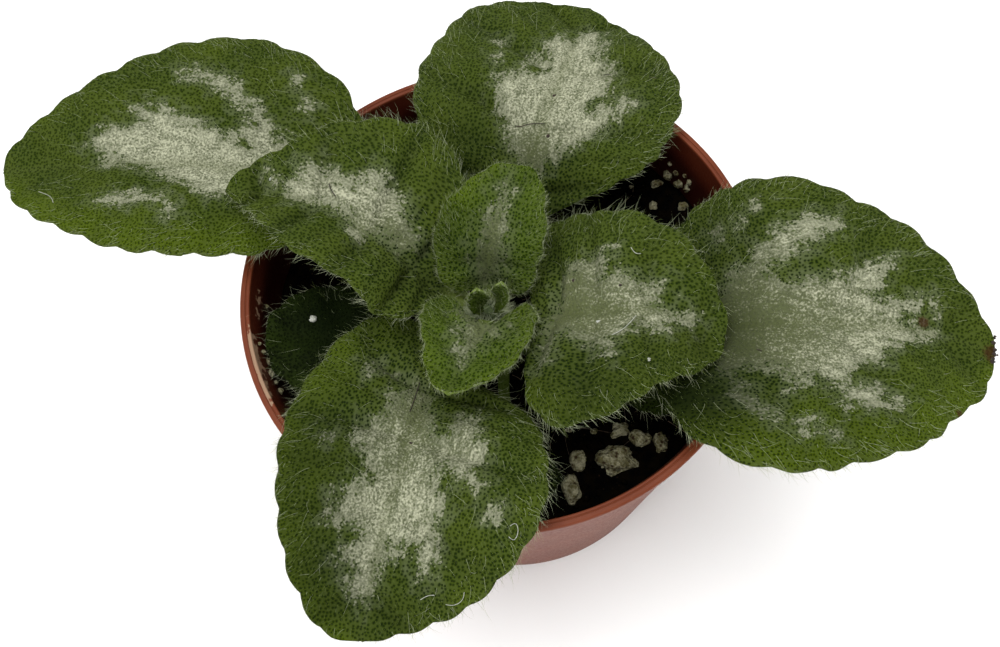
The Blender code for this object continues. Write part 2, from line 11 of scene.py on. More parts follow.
import bmesh
import bpy
import numpy as np
from mathutils import Matrix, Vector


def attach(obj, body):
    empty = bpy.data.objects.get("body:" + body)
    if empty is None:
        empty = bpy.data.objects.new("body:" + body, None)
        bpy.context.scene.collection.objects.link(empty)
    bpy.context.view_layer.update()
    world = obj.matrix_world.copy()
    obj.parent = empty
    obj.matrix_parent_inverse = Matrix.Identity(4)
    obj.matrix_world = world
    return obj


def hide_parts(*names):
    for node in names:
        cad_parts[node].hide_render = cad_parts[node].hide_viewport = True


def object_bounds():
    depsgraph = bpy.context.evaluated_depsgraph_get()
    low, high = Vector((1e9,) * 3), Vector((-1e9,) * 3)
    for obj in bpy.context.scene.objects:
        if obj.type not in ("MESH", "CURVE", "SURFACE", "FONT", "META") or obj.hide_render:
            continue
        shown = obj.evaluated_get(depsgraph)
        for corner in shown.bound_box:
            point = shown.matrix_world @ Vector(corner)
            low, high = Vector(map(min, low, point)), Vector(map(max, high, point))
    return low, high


MM = 0.001

# Pot
POT_SIDES = 180
RIM_HEIGHT = 48.5
RIM_RADIUS = 32.0
LIP_WIDTH = 1.2
BAND_HEIGHT = 2.5
FOOT_RADIUS = 22.7
FOOT_ROUND = 0.5
WALL = 1.0
FLOOR = 1.2
BAND_STEP = 0.9
BAND_ROUND = 0.15
RIM_ROUND = 0.3
RIM_DRAFT = 0.4
LIP_ROUND = 0.15
GROOVE_INSET = 0.75
GROOVE_HALF_WIDTH = 0.12
DRAIN_COUNT = 6
DRAIN_RING_RADIUS = 14.0
DRAIN_RADIUS = 2.5
# Dirt and painted shade darken the inner wall, starting a little above the rim and full this far down
DUST_AND_SHADE_START = 0.4
DUST_AND_SHADE_DEPTH = 5.0

# Soil
SOIL_TOP = RIM_HEIGHT - 8.2
SOIL_RADIUS = 28.9
SOIL_SIDES = 200
SOIL_RINGS = 74
SOIL_CRUMBS = 1100
SOIL_FIBRES = 160
SOIL_PERLITE = 34
# Height and size of the lumps in its top
SOIL_LUMPS = [(0.40, 3.4), (0.26, 1.5), (0.16, 0.7)]
SOIL_SEED = 11

# Crown, the short stem that carries the leaves. Its profile gives radius, height from the rim
# and how far the stem leans to the front there.
CROWN_X = -1.7
CROWN_Y = -4.6
CROWN_TOP = 4.8
CROWN_BOTTOM = -12.0
CROWN_RINGS = 60
CROWN_BARE_RINGS = 28
CROWN_SIDES = 48
CROWN_PROFILE = [(2.4, -12.0, 0.0), (2.9, -8.0, 0.0), (3.0, -5.0, 0.0), (2.8, -2.0, 0.1), (2.2, 1.0, 0.5),
                 (1.4, 3.6, 1.1), (0.6, 4.8, 1.4)]

# Leaf form, as in the solids
TIP_HALF_WIDTH = 0.22
MARGIN_THICKNESS = 0.66
TOOTH_DEPTH = 0.1
TOOTH_NOTCH = 0.6
TEETH_START = 0.25
TEETH_END = 0.07
ROW_LEAD = 1.35
LOBE_CURVE = 3
LOBE_SETBACK = 0.55
LONGEST_SETBACK = 0.2
CREASE = 1.2
RIB_TAPER = 0.62
RIB_DEPTH = 0.9
QUILT_START = 0.2
QUILT_END = 0.25
SPINE_SAMPLES = 300
MARGIN_SAMPLES = 200

# Finer cut of the leaves
PITCH = 0.35
STALK_PITCH = 0.5
EDGE_SHARES = (0.965, 0.98, 0.99, 0.997, 1.0)
EDGE_ROUND = 0.44
EDGE_THINNING = 0.45
THINNING_START = 0.15
LAST_ROW = 0.998
STALK_FADE = 2.5
UNDER_RELIEF = 0.5

# Relief of a blade's upper side. Starts, roots and ends are shares of the blade's length or width.
MIDRIB_GROOVE = 0.4
MIDRIB_WIDTH = 0.6
LATERAL_GROOVE = 0.75
LATERAL_WIDTH = 1.0
LATERAL_START = 0.11
LATERAL_ROOT = 0.2
MINOR_GROOVE = 0.32
MINOR_WIDTH = 0.55
MINOR_ROOT = 0.35
NET_SIZE = 2.3
NET_GROOVE = 0.09
NET_WIDTH = 0.16
PEBBLE_SIZE = 0.66
PEBBLE_HEIGHT = 0.08
PUCKER_SIZE = 1.9
PUCKER_HEIGHT = 0.12
WAVE_SIZE = 5.5
WAVE_HEIGHT = 0.25
FULL_QUILT = 0.5
RELIEF_START = 0.1
RELIEF_END = 0.08
# Tones over a blade. Starts and widths are shares of its length. The rib's tone narrows towards the
# tip. The side veins' grooves get painted shade, fainter in the minor ones, and the margin's painted
# glow and painted light edge start a little way up the blade.
RIB_TONE_TAPER = 0.8
VEIN_SHADE_WIDTH = 0.025
MINOR_SHADE_WIDTH = 0.014
MINOR_SHADE = 0.6
GLOW_START = 0.2
EDGE_LIGHT_START = 0.25

# Numbers of the colour sockets on a mix node
MIX_FIRST = 6
MIX_SECOND = 7
MIX_RESULT = 2

# Sizes of the leaf material's textures
PIT_SPACING = 0.44
GRAIN_SIZE = 0.22
GRANULE_SIZE = 0.23
SPECKLE_SIZE = 0.25
STREAK_SIZE = 0.9
STREAK_STRETCH = (0.35, 1.0, 1.0)
BLOTCH_SIZE = 1.3
PATCH_SIZE = 5.0
# How far apart the leaves lie in them
TEXTURE_STEP = 50.0

HAIR_SEED = 23
# Hairs on a square millimetre, on a millimetre of margin and on the whole crown
UPPER_HAIRS = 1.8
LONG_HAIRS = 0.38
UNDER_HAIRS = 0.5
MARGIN_HAIRS = 2.5
STALK_HAIRS = 1.6
CROWN_HAIRS = 900
# How many times as dense as on a full-grown leaf the short hairs are, and the young leaves' hair size
SHORT_CROWDING = {"leaf_shaded": 0.2, "leaf_young": 2.2}
YOUNG_HAIR_SIZE = 0.5
# Shortest hair's scale and how many times as dense the long ones are, on the folded leaves and others
BUD_HAIRS = (0.6, 8.0)
PLAIN_HAIRS = (0.3, 1.0)
# Sides of a hair, and how much of its width it loses to the tip
HAIR_SIDES = 3
HAIR_TAPER = 0.75
# How far the hairs may stand outside the solids' box
BOX_SPARE = (1.4, 1.1, 0.8)
# Kinds of hair. "lean" and "bend" are the hair's way and its bend's, as shares of outward, forward
# and up from the surface. "stray" and "wander" are how far they turn from it at random, and "curl"
# is how much the hair bends. "reach" is its length, and "sunk" how deep it is rooted. Two values
# for one thing are the least and the most.
FREE = (0.0, 0.0, 0.0)
HAIRS = {
    "short": dict(bend=(0.0, 1.0, 0.0), stray=0.3, wander=0.8, curl=(0.1, 0.5), reach=(0.6, 1.5),
                  radius=0.013, rings=2, pale=0.1),
    "long": dict(lean=(0.8, 0.4, 0.3), bend=(0.0, 0.7, 0.0), stray=0.35, wander=(0.8, 0.8, 0.24),
                 curl=(0.4, 1.2), reach=(0.8, 2.0), radius=0.017, rings=4, pale=0.65),
    "under": dict(lean=(0.4, 0.0, -0.8), bend=FREE, stray=0.3, wander=1.0, curl=0.3, reach=(0.4, 1.1),
                  radius=0.017, rings=2, pale=0.4),
    "fringe": dict(lean=(0.85, 0.45, 0.15), bend=(0.0, 0.8, 0.4), stray=0.3, wander=0.7, curl=(0.1, 0.6),
                   reach=(0.5, 1.7), radius=0.017, rings=3, pale=0.45, sunk=0.1),
    "stalk": dict(lean=(0.8, 0.0, 0.8), bend=FREE, stray=0.3, wander=1.0, curl=0.35, reach=(0.9, 2.4),
                  radius=0.017, rings=3, pale=0.8),
    "crown": dict(lean=(1.0, 0.0, 0.7), bend=FREE, stray=0.3, wander=1.0, curl=0.3, reach=(0.8, 1.8),
                  radius=0.03, rings=3, pale=0.6),
    "fibre": dict(lean=FREE, bend=FREE, stray=(1.0, 1.0, 0.16), wander=(1.0, 1.0, 0.1), curl=0.5,
                  reach=(1.2, 4.0), radius=(0.04, 0.09), rings=4, pale=0.0),
}
THREAD_SIDES = 6
THREAD_STEPS = 12

# Dried crusts on the pot: angle, spread in degrees, height, rise, strength
POT_CRUSTS = [
    (190.0, 8.0, 48.5, 0.5, 1.0),
    (199.0, 4.0, 48.5, 0.5, 0.95),
    (175.5, 5.0, 46.6, 1.3, 0.8),
    (304.0, 4.0, 41.5, 0.7, 0.6),
]
# Flecks stuck to the inner wall: angle, height, size
WALL_FLECKS = [
    (173.9, 44.0, 0.5), (186.5, 47.0, 0.45), (188.2, 46.2, 0.6), (189.7, 45.0, 0.9), (193.4, 45.6, 0.9),
    (195.2, 44.6, 0.6), (197.2, 44.0, 0.7), (33.6, 41.2, 1.5), (29.6, 41.5, 1.2), (26.6, 42.2, 1.0),
    (26.6, 43.6, 0.7), (31.4, 42.8, 0.8), (28.6, 43.8, 0.5), (34.0, 43.4, 0.6),
]

LEAF_SLOTS = {
    "leaf_top_back": "leaf_young",
    "leaf_top_front": "leaf_young",
    "leaf_bud_left": "leaf_young",
    "leaf_bud_right": "leaf_young",
    "leaf_old": "leaf_shaded",
    "leaf_low_right": "leaf_shaded",
    "leaf_low_front": "leaf_shaded",
}
# Painted light: how yellow-green the margin is made, for light showing through it and bouncing up from below,
# on each leaf's left and right half
MARGIN_GLOW_PAINT = {
    "leaf_left": (1.0, 0.3),
    "leaf_mid_left": (0.25, 0.25),
    "leaf_back": (0.25, 0.1),
    "leaf_right": (0.1, 1.0),
    "leaf_mid_right": (0.0, 0.4),
    "leaf_front": (0.35, 0.7),
    "leaf_top_back": (0.9, 0.3),
    "leaf_top_front": (0.9, 0.6),
}
OTHER_MARGIN_GLOW = (0.3, 0.3)
# How marked the side veins' grooves are on each leaf, in relief and in the painted shade along them
RIDGES = {
    "leaf_left": 0.25,
    "leaf_mid_left": 1.2,
    "leaf_back": 0.8,
    "leaf_right": 0.5,
    "leaf_mid_right": 0.6,
    "leaf_front": 0.75,
}
OTHER_RIDGES = 0.5
# Brown spots: distance along the spine, distance out, radius, strength
BLEMISHES = {
    "leaf_right": [(53.2, 10.4, 0.7, 1.0), (49.1, -1.1, 0.9, 1.0), (58.2, 0.5, 1.6, 1.0)],
}
# Painted shade: deep green places where shade falls on the leaves, given in the same way
PAINTED_SHADE_PLACES = {
    "leaf_mid_left": [(6.0, 0.0, 4.0, 0.3)],
    "leaf_back": [(18.0, -8.0, 6.0, 0.35), (14.0, 3.0, 6.0, 0.4)],
    "leaf_old": [(12.0, 0.0, 9.0, 0.97), (18.0, 3.5, 5.0, 0.6)],
    "leaf_bud_left": [(2.6, 0.0, 2.6, 0.5)],
    "leaf_bud_right": [(2.6, 0.0, 2.6, 0.4)],
    "leaf_right": [(22.0, 10.0, 6.5, 0.92), (24.0, -11.0, 6.0, 0.4), (23.5, 0.0, 6.0, 0.7),
                   (38.0, 15.0, 6.0, 0.2)],
    "leaf_mid_right": [(13.0, 11.5, 6.5, 0.4), (25.5, 4.0, 4.5, 0.3)],
    "leaf_front": [(22.0, 11.0, 7.5, 0.45), (34.5, 7.0, 6.0, 0.5), (37.0, -4.0, 5.0, 0.25)],
    "leaf_top_back": [(7.0, -6.0, 3.5, 0.55), (4.0, 0.0, 3.5, 0.5)],
}
PAINTED_SHADE_GREEN = (0.003, 0.006, 0.001)
# Greens of a leaf: pits, middle, light, margin with painted glow, rib, stalk, underside
MATURE = ((0.006, 0.012, 0.002), (0.026, 0.042, 0.003), (0.039, 0.057, 0.005), (0.053, 0.081, 0.002),
          (0.052, 0.070, 0.015), (0.126, 0.167, 0.035), (0.090, 0.126, 0.028))
YOUNG = ((0.007, 0.015, 0.002), (0.031, 0.054, 0.002), (0.043, 0.070, 0.005), (0.056, 0.089, 0.002),
         (0.056, 0.077, 0.017), (0.139, 0.188, 0.035), (0.104, 0.146, 0.035))
# SHADED: the same greens darkened as painted shade, for the low leaves that lie under the others
SHADED = ((0.002, 0.003, 0.001), (0.004, 0.007, 0.001), (0.014, 0.025, 0.002), (0.013, 0.020, 0.002),
          (0.014, 0.021, 0.004), (0.042, 0.063, 0.010), (0.028, 0.042, 0.009))
SILVER_DARK = (0.094, 0.104, 0.059)
SILVER_LIGHT = (0.384, 0.390, 0.275)
SILVER_OLIVE = (0.073, 0.087, 0.031)
SILVER_HAZE = (0.080, 0.097, 0.044)
BLEMISH_BROWN = (0.035, 0.015, 0.005)

# Other colours. Where there are two, the material blends them.
HAIR_ROOT = ((0.042, 0.070, 0.005), (0.070, 0.104, 0.009))
HAIR_TIP = ((0.139, 0.188, 0.035), (0.223, 0.272, 0.075))
HAIR_PALE = ((0.384, 0.425, 0.265), (0.560, 0.590, 0.440))
POT_RED = ((0.116, 0.026, 0.010), (0.135, 0.034, 0.014))
POT_SCUFF = (0.195, 0.068, 0.038)
# The inner wall's darker colours: soil dirt and painted shade
POT_SOILED_AND_SHADED = ((0.052, 0.010, 0.004), (0.016, 0.002, 0.001))
POT_CRUST = (0.282, 0.177, 0.112)
# The soil's own dark colour, darkened further as painted shade
SOIL_DARK_AND_SHADED = ((0.001, 0.001, 0.001), (0.003, 0.002, 0.001))
SOIL_BIT = (0.016, 0.010, 0.006)
PERLITE_PORE = (0.037, 0.021, 0.009)
PERLITE_PALE = ((0.110, 0.098, 0.042), (0.330, 0.310, 0.200))
FIBRE_BROWN = ((0.021, 0.012, 0.007), (0.083, 0.052, 0.028))
LINT_PALE = ((0.275, 0.289, 0.234), (0.427, 0.433, 0.385))
DIRT_DARK = ((0.007, 0.004, 0.003), (0.028, 0.015, 0.009))
CROWN_GREEN = ((0.021, 0.034, 0.009), (0.062, 0.089, 0.024))
FLOOR_PALE = ((0.93, 0.93, 0.93), (0.95, 0.95, 0.95))

# Where the silver begins and where it is full, as distance along the spine and out from it added up, and how
# strong it is then. Near where it begins, the blade is also darkened towards its base as painted shade.
SILVER_FADE = {
    "leaf_left": (26.0, 36.0, 1.0),
    "leaf_mid_left": (9.0, 22.0, 0.97),
    "leaf_back": (15.0, 26.0, 0.88),
    "leaf_right": (23.0, 50.0, 0.97),
    "leaf_mid_right": (5.0, 27.0, 1.0),
    "leaf_front": (4.0, 27.0, 0.85),
    "leaf_top_back": (5.0, 15.5, 0.95),
    "leaf_top_front": (4.0, 12.0, 0.85),
}
OTHER_FADE = (0.0, 1.0, 1.0)
# The silver's distance to its outline is not followed further out than this
SILVER_FAR = -3.0
# Bits lying on the leaves: colour, radius and places along and out from the spine
THREADS = [
    ("leaf_left", "pale", 0.035, [(60.9, -4.5), (58.9, -5.5), (57.9, -6.8)]),
    ("leaf_mid_left", "dark", 0.06, [(22.0, 3.3), (21.4, 2.5), (20.7, 1.8)]),
    ("leaf_back", "dark", 0.05, [(22.2, -3.1), (22.3, -2.3), (22.9, -1.2), (23.4, 0.7)]),
    ("leaf_back", "dark", 0.04, [(33.7, 5.3), (34.2, 6.0)]),
    ("leaf_back", "dark", 0.04, [(34.4, 11.3), (34.0, 12.2)]),
    ("leaf_right", "dark", 0.05, [(28.9, 3.2), (29.3, 3.6)]),
    ("leaf_mid_right", "pale", 0.04, [(14.5, 3.7), (15.5, 2.9), (16.8, 1.1)]),
    ("leaf_mid_right", "pale", 0.04, [(16.0, -7.2), (16.5, -6.6), (17.0, -6.6)]),
    ("leaf_front", "dark", 0.06, [(9.2, 1.9), (11.5, 1.3), (13.8, 1.1)]),
    ("leaf_front", "pale", 0.04, [(24.8, -13.9), (24.4, -14.5), (25.2, -15.0), (26.2, -14.7), (25.8, -14.1)]),
    ("leaf_front", "pale", 0.035, [(32.6, -10.9), (33.8, -10.7), (34.4, -9.9), (34.6, -8.8)]),
    ("leaf_front", "pale", 0.04, [(34.6, -6.0), (33.9, -6.8), (33.8, -7.5)]),
]
SPECKS = [
    ("leaf_mid_left", "pale", 0.35, [(29.5, 1.9)]),
    ("leaf_mid_right", "pale", 0.45, [(12.6, 1.6), (18.8, 6.6)]),
    ("leaf_old", "pale", 1.0, [(19.0, 2.5)]),
    ("leaf_back", "dark", 0.5, [(21.9, 1.5), (28.2, 0.3)]),
    ("leaf_mid_right", "dark", 0.35, [(9.0, -4.0), (15.1, -2.7)]),
    ("leaf_front", "dark", 0.35, [(17.5, -0.3)]),
    ("leaf_right", "dark", 0.6, [(57.9, -1.9), (58.1, -1.1), (58.3, -0.4), (58.4, 0.3), (58.3, 1.0),
                                 (58.0, 1.6)]),
]

# Camera. Its place is counted from the middle of the rim, to the right, up and back in its own view.
CAMERA_ELEVATION = 64.5
CAMERA_ROLL = -7.6
CAMERA_PLACE = (0.21, -5.19, 160.0)
CAMERA_LENS = 46.98
CAMERA_SENSOR = 36.0

# Stage and light
DISH_RADIUS = 2600.0
DISH_FLAT = 500.0
DISH_RISE = 1500.0
DISH_RINGS = 26
DISH_SIDES = 64
FLOOR_GAP = 0.05
SKY_STRENGTH = 0.24
# Suns: name, azimuth from the right towards the back, elevation, spread, strength
LIGHTS = [
    ("overhead", 120.0, 83.0, 55.0, 3.0),
    ("fill", 240.0, 46.0, 60.0, 1.4),
]

# Perlite grains that show: x, y, width, depth front to back, height
PERLITE = [
    (11.3, -22.1, 4.8, 3.6, 2.6),
    (6.8, -21.6, 1.9, 2.6, 1.6),
    (5.4, -25.0, 2.1, 3.2, 1.8),
    (12.3, -18.4, 2.8, 2.3, 1.6),
    (14.5, -19.9, 2.4, 1.8, 1.6),
    (16.9, -20.6, 1.6, 2.6, 1.6),
    (-21.0, 3.2, 1.1, 1.1, 0.9),
    (25.4, 11.4, 1.4, 1.2, 1.2),
    (22.6, 15.6, 1.6, 1.4, 1.2),
    (21.6, 12.2, 1.1, 1.2, 0.9),
]

# Leaves. A spine runs from the stalk's root to the blade's tip, with z measured from the rim.
# "base" is the stalk's length. "left" and "right" are the margins, as distances along the
# spine and out from it. "fold" is how far each half is raised about the midrib, in degrees,
# and "droop" how far its margin bends down again. "stalk" is its half width and its depth.
FULL_GROWN = dict(stalk=(1.2, 1.3), veins=4, quilt=0.5, thick=0.9)
TOP_LEAF = dict(droop=(1.0, 1.0), stalk=(0.9, 1.0), veins=3, quilt=0.4, thick=0.8)
LOWER_LEAF = dict(droop=(1.0, 1.0), stalk=(1.0, 1.0), veins=3, quilt=0.3, thick=0.8)
BUD = dict(fold=(26.0, 26.0), droop=(0.1, 0.1), stalk=(0.5, 0.4), teeth=3, veins=2, quilt=0.1, thick=0.7)
LEAVES = {
    "leaf_left": dict(
        spine=[(-3.7, -1.7, -2.8), (-9.0, 4.6, -1.8), (-14.5, 11.2, 0.2), (-21.0, 15.9, 2.2),
               (-29.2, 18.4, 3.6), (-39.2, 20.7, 4.2), (-48.3, 22.5, 3.6), (-56.6, 23.9, 2.2),
               (-62.1, 25.1, 0.8)],
        base=13.0,
        left=[(17.9, 6.4), (24.3, 9.3), (31.1, 12.6), (37.9, 13.5), (44.8, 13.8), (51.7, 12.6), (56.9, 10.4),
              (62.0, 7.4), (66.1, 3.0)],
        right=[(18.5, 5.8), (23.3, 9.5), (27.7, 15.3), (35.3, 18.9), (42.7, 18.1), (51.2, 14.3), (58.2, 10.1),
               (64.3, 6.1), (67.8, 2.5)],
        fold=(16.0, 18.0), droop=(2.5, 2.5), teeth=13, **FULL_GROWN),
    "leaf_mid_left": dict(
        spine=[(-4.5, -3.8, 1.0), (-7.4, -2.0, 3.2), (-11.0, 1.6, 6.8), (-14.8, 4.3, 8.8), (-19.2, 7.6, 9.8),
               (-24.0, 10.4, 9.2), (-31.7, 13.9, 6.8)],
        base=4.0,
        left=[(5.5, 6.6), (9.0, 9.3), (12.8, 8.7), (17.1, 8.2), (21.1, 8.3), (25.0, 6.9), (29.1, 4.3),
              (33.0, 1.8)],
        right=[(5.8, 6.0), (9.2, 11.0), (12.4, 15.0), (17.9, 15.2), (21.4, 12.8), (27.0, 8.0), (31.3, 4.8),
               (35.0, 1.8)],
        fold=(30.0, 18.0), droop=(2.0, 2.5), teeth=10, **FULL_GROWN),
    "leaf_back": dict(
        spine=[(-0.8, -1.2, -2.7), (1.5, 4.5, -0.8), (4.7, 10.8, 1.8), (6.9, 17.0, 4.0), (10.1, 23.8, 3.8),
               (14.0, 32.6, 1.5), (17.5, 41.1, -2.0)],
        base=9.0,
        left=[(12.9, 9.2), (18.3, 13.9), (23.9, 17.2), (29.4, 17.7), (36.0, 16.9), (41.4, 15.1), (45.8, 7.7)],
        right=[(12.9, 4.8), (15.5, 9.2), (20.1, 14.8), (25.1, 15.9), (31.6, 16.2), (39.1, 12.0), (44.3, 5.3)],
        fold=(8.0, 8.0), droop=(2.0, 2.0), teeth=12, **FULL_GROWN),
    "leaf_right": dict(
        spine=[(1.8, -4.9, -2.8), (9.1, -7.2, -1.2), (17.0, -9.6, 2.0), (25.3, -11.8, 4.0),
               (33.9, -12.6, 4.2), (40.9, -13.6, 3.2), (49.2, -14.8, 1.2), (57.0, -17.4, -1.5)],
        base=12.0,
        left=[(16.2, 7.7), (21.5, 15.5), (26.7, 17.7), (34.0, 19.0), (39.7, 16.8), (46.7, 13.6), (53.7, 6.2),
              (57.9, 1.8)],
        right=[(17.6, 7.2), (22.2, 14.0), (27.3, 18.3), (30.6, 19.1), (36.1, 19.0), (42.5, 16.9),
               (49.1, 14.1), (52.7, 11.1), (56.8, 7.0)],
        fold=(16.0, 14.0), droop=(2.5, 2.5), teeth=13, **FULL_GROWN),
    "leaf_mid_right": dict(
        spine=[(1.0, -5.6, 1.0), (4.3, -7.0, 3.6), (8.4, -8.6, 6.4), (13.4, -9.8, 8.4), (19.3, -11.3, 8.2),
               (24.7, -14.2, 6.5)],
        base=3.5,
        left=[(1.4, 4.7), (0.2, 8.8), (0.9, 11.6), (3.2, 13.2), (6.4, 13.7), (10.2, 13.2), (15.5, 12.7),
              (20.1, 10.2), (23.4, 6.4), (27.0, 2.0)],
        right=[(4.4, 2.6), (5.4, 7.4), (7.2, 12.2), (9.8, 14.8), (12.6, 14.4), (16.8, 12.1), (21.2, 9.3),
               (25.5, 6.5), (27.9, 2.7)],
        fold=(12.0, 12.0), droop=(2.0, 2.0), teeth=9, **FULL_GROWN),
    "leaf_front": dict(
        spine=[(-3.7, -7.5, -2.7), (-6.5, -9.6, -0.9), (-10.0, -15.0, 2.0), (-12.7, -21.2, 4.0),
               (-15.1, -27.5, 4.4), (-18.0, -35.1, 2.6), (-20.2, -41.5, -0.4)],
        base=5.0,
        left=[(7.3, 9.1), (10.4, 13.3), (14.9, 15.6), (20.2, 17.0), (25.7, 16.4), (31.8, 13.5), (36.1, 9.3),
              (39.9, 2.4)],
        right=[(1.7, 6.2), (5.3, 12.3), (10.4, 13.9), (16.6, 14.7), (23.2, 13.9), (29.0, 12.0), (33.8, 9.7),
               (38.1, 6.5), (40.5, 3.5)],
        fold=(10.0, 10.0), droop=(2.0, 2.0), teeth=12, **FULL_GROWN),
    "leaf_top_back": dict(
        spine=[(-1.4, -3.9, 3.6), (-1.2, -2.9, 5.4), (-0.9, -1.2, 7.4), (-0.2, 1.0, 9.0), (0.8, 3.2, 10.3),
               (3.7, 8.7, 12.2)],
        base=1.8,
        left=[(1.2, 1.9), (0.9, 3.5), (2.1, 5.3), (5.8, 6.7), (9.8, 6.6), (13.5, 4.4), (15.8, 2.4)],
        right=[(1.3, 1.9), (0.8, 3.5), (1.8, 5.1), (6.0, 6.2), (10.1, 6.3), (14.2, 4.8), (16.5, 3.0)],
        fold=(14.0, 14.0), teeth=6, **TOP_LEAF),
    "leaf_top_front": dict(
        spine=[(-1.8, -7.5, 4.0), (-2.0, -8.2, 6.5), (-2.4, -9.5, 7.8), (-3.2, -11.5, 8.6),
               (-5.0, -14.7, 9.8), (-7.1, -18.3, 11.2)],
        base=4.3,
        left=[(3.0, 1.6), (1.6, 2.3), (0.2, 3.1), (-1.0, 4.2), (0.4, 5.6), (3.0, 5.9), (6.0, 5.6), (9.2, 4.7),
              (11.8, 3.4), (13.9, 1.7)],
        right=[(2.8, 2.6), (0.8, 4.0), (0.0, 6.0), (1.4, 7.2), (4.0, 7.6), (7.2, 7.1), (10.5, 5.3),
               (13.2, 3.8), (14.8, 2.0)],
        fold=(14.0, 14.0), teeth=7, **TOP_LEAF),
    "leaf_old": dict(
        spine=[(-5.2, -4.9, -5.7), (-11.0, -4.4, -5.2), (-18.0, -3.6, -4.2), (-24.5, -2.6, -2.8),
               (-29.1, -1.5, -1.5)],
        base=6.0,
        left=[(9.0, 5.5), (13.0, 7.8), (17.0, 8.3), (20.6, 6.7), (22.8, 5.0), (23.9, 2.8)],
        right=[(9.0, 5.5), (13.0, 7.5), (17.0, 7.6), (21.0, 6.1), (23.3, 3.8), (24.5, 1.8)],
        fold=(6.0, 6.0), teeth=7, **LOWER_LEAF),
    "leaf_low_right": dict(
        spine=[(1.5, -6.1, -5.8), (6.4, -7.6, -5.5), (12.0, -10.2, -4.9), (17.6, -14.0, -4.2),
               (20.6, -16.2, -4.0)],
        base=6.0,
        left=[(9.0, 4.5), (13.0, 7.0), (17.4, 6.5), (21.2, 5.5), (23.0, 1.7)],
        right=[(9.0, 4.5), (13.0, 5.9), (16.3, 4.5), (19.2, 4.5), (22.2, 2.1)],
        fold=(8.0, 8.0), teeth=7, **LOWER_LEAF),
    "leaf_low_front": dict(
        spine=[(-0.5, -8.0, -5.8), (-1.1, -12.0, -5.9), (-0.7, -18.0, -5.4), (1.0, -24.0, -4.2),
               (2.0, -27.2, -3.4)],
        base=13.0,
        left=[(15.0, 2.4), (17.6, 3.1), (19.2, 1.8)],
        right=[(15.0, 2.4), (17.6, 3.1), (19.2, 1.8)],
        fold=(10.0, 10.0), droop=(0.4, 0.4), stalk=(0.7, 0.7), teeth=4, veins=2, quilt=0.15, thick=0.7),
    "leaf_bud_left": dict(
        spine=[(-2.4, -6.7, 5.5), (-2.5, -6.6, 6.8), (-2.6, -6.4, 8.2), (-2.6, -6.0, 9.6)],
        base=0.9,
        left=[(1.5, 1.3), (2.8, 1.5), (3.9, 0.9)],
        right=[(1.5, 1.3), (2.8, 1.5), (3.9, 0.9)],
        **BUD),
    "leaf_bud_right": dict(
        spine=[(-0.9, -6.5, 5.6), (-0.5, -6.5, 7.0), (-0.1, -6.3, 8.6), (0.1, -5.9, 10.2)],
        base=0.9,
        left=[(1.5, 1.1), (3.0, 1.3), (4.3, 0.8)],
        right=[(1.5, 1.1), (3.0, 1.3), (4.3, 0.8)],
        **BUD),
}

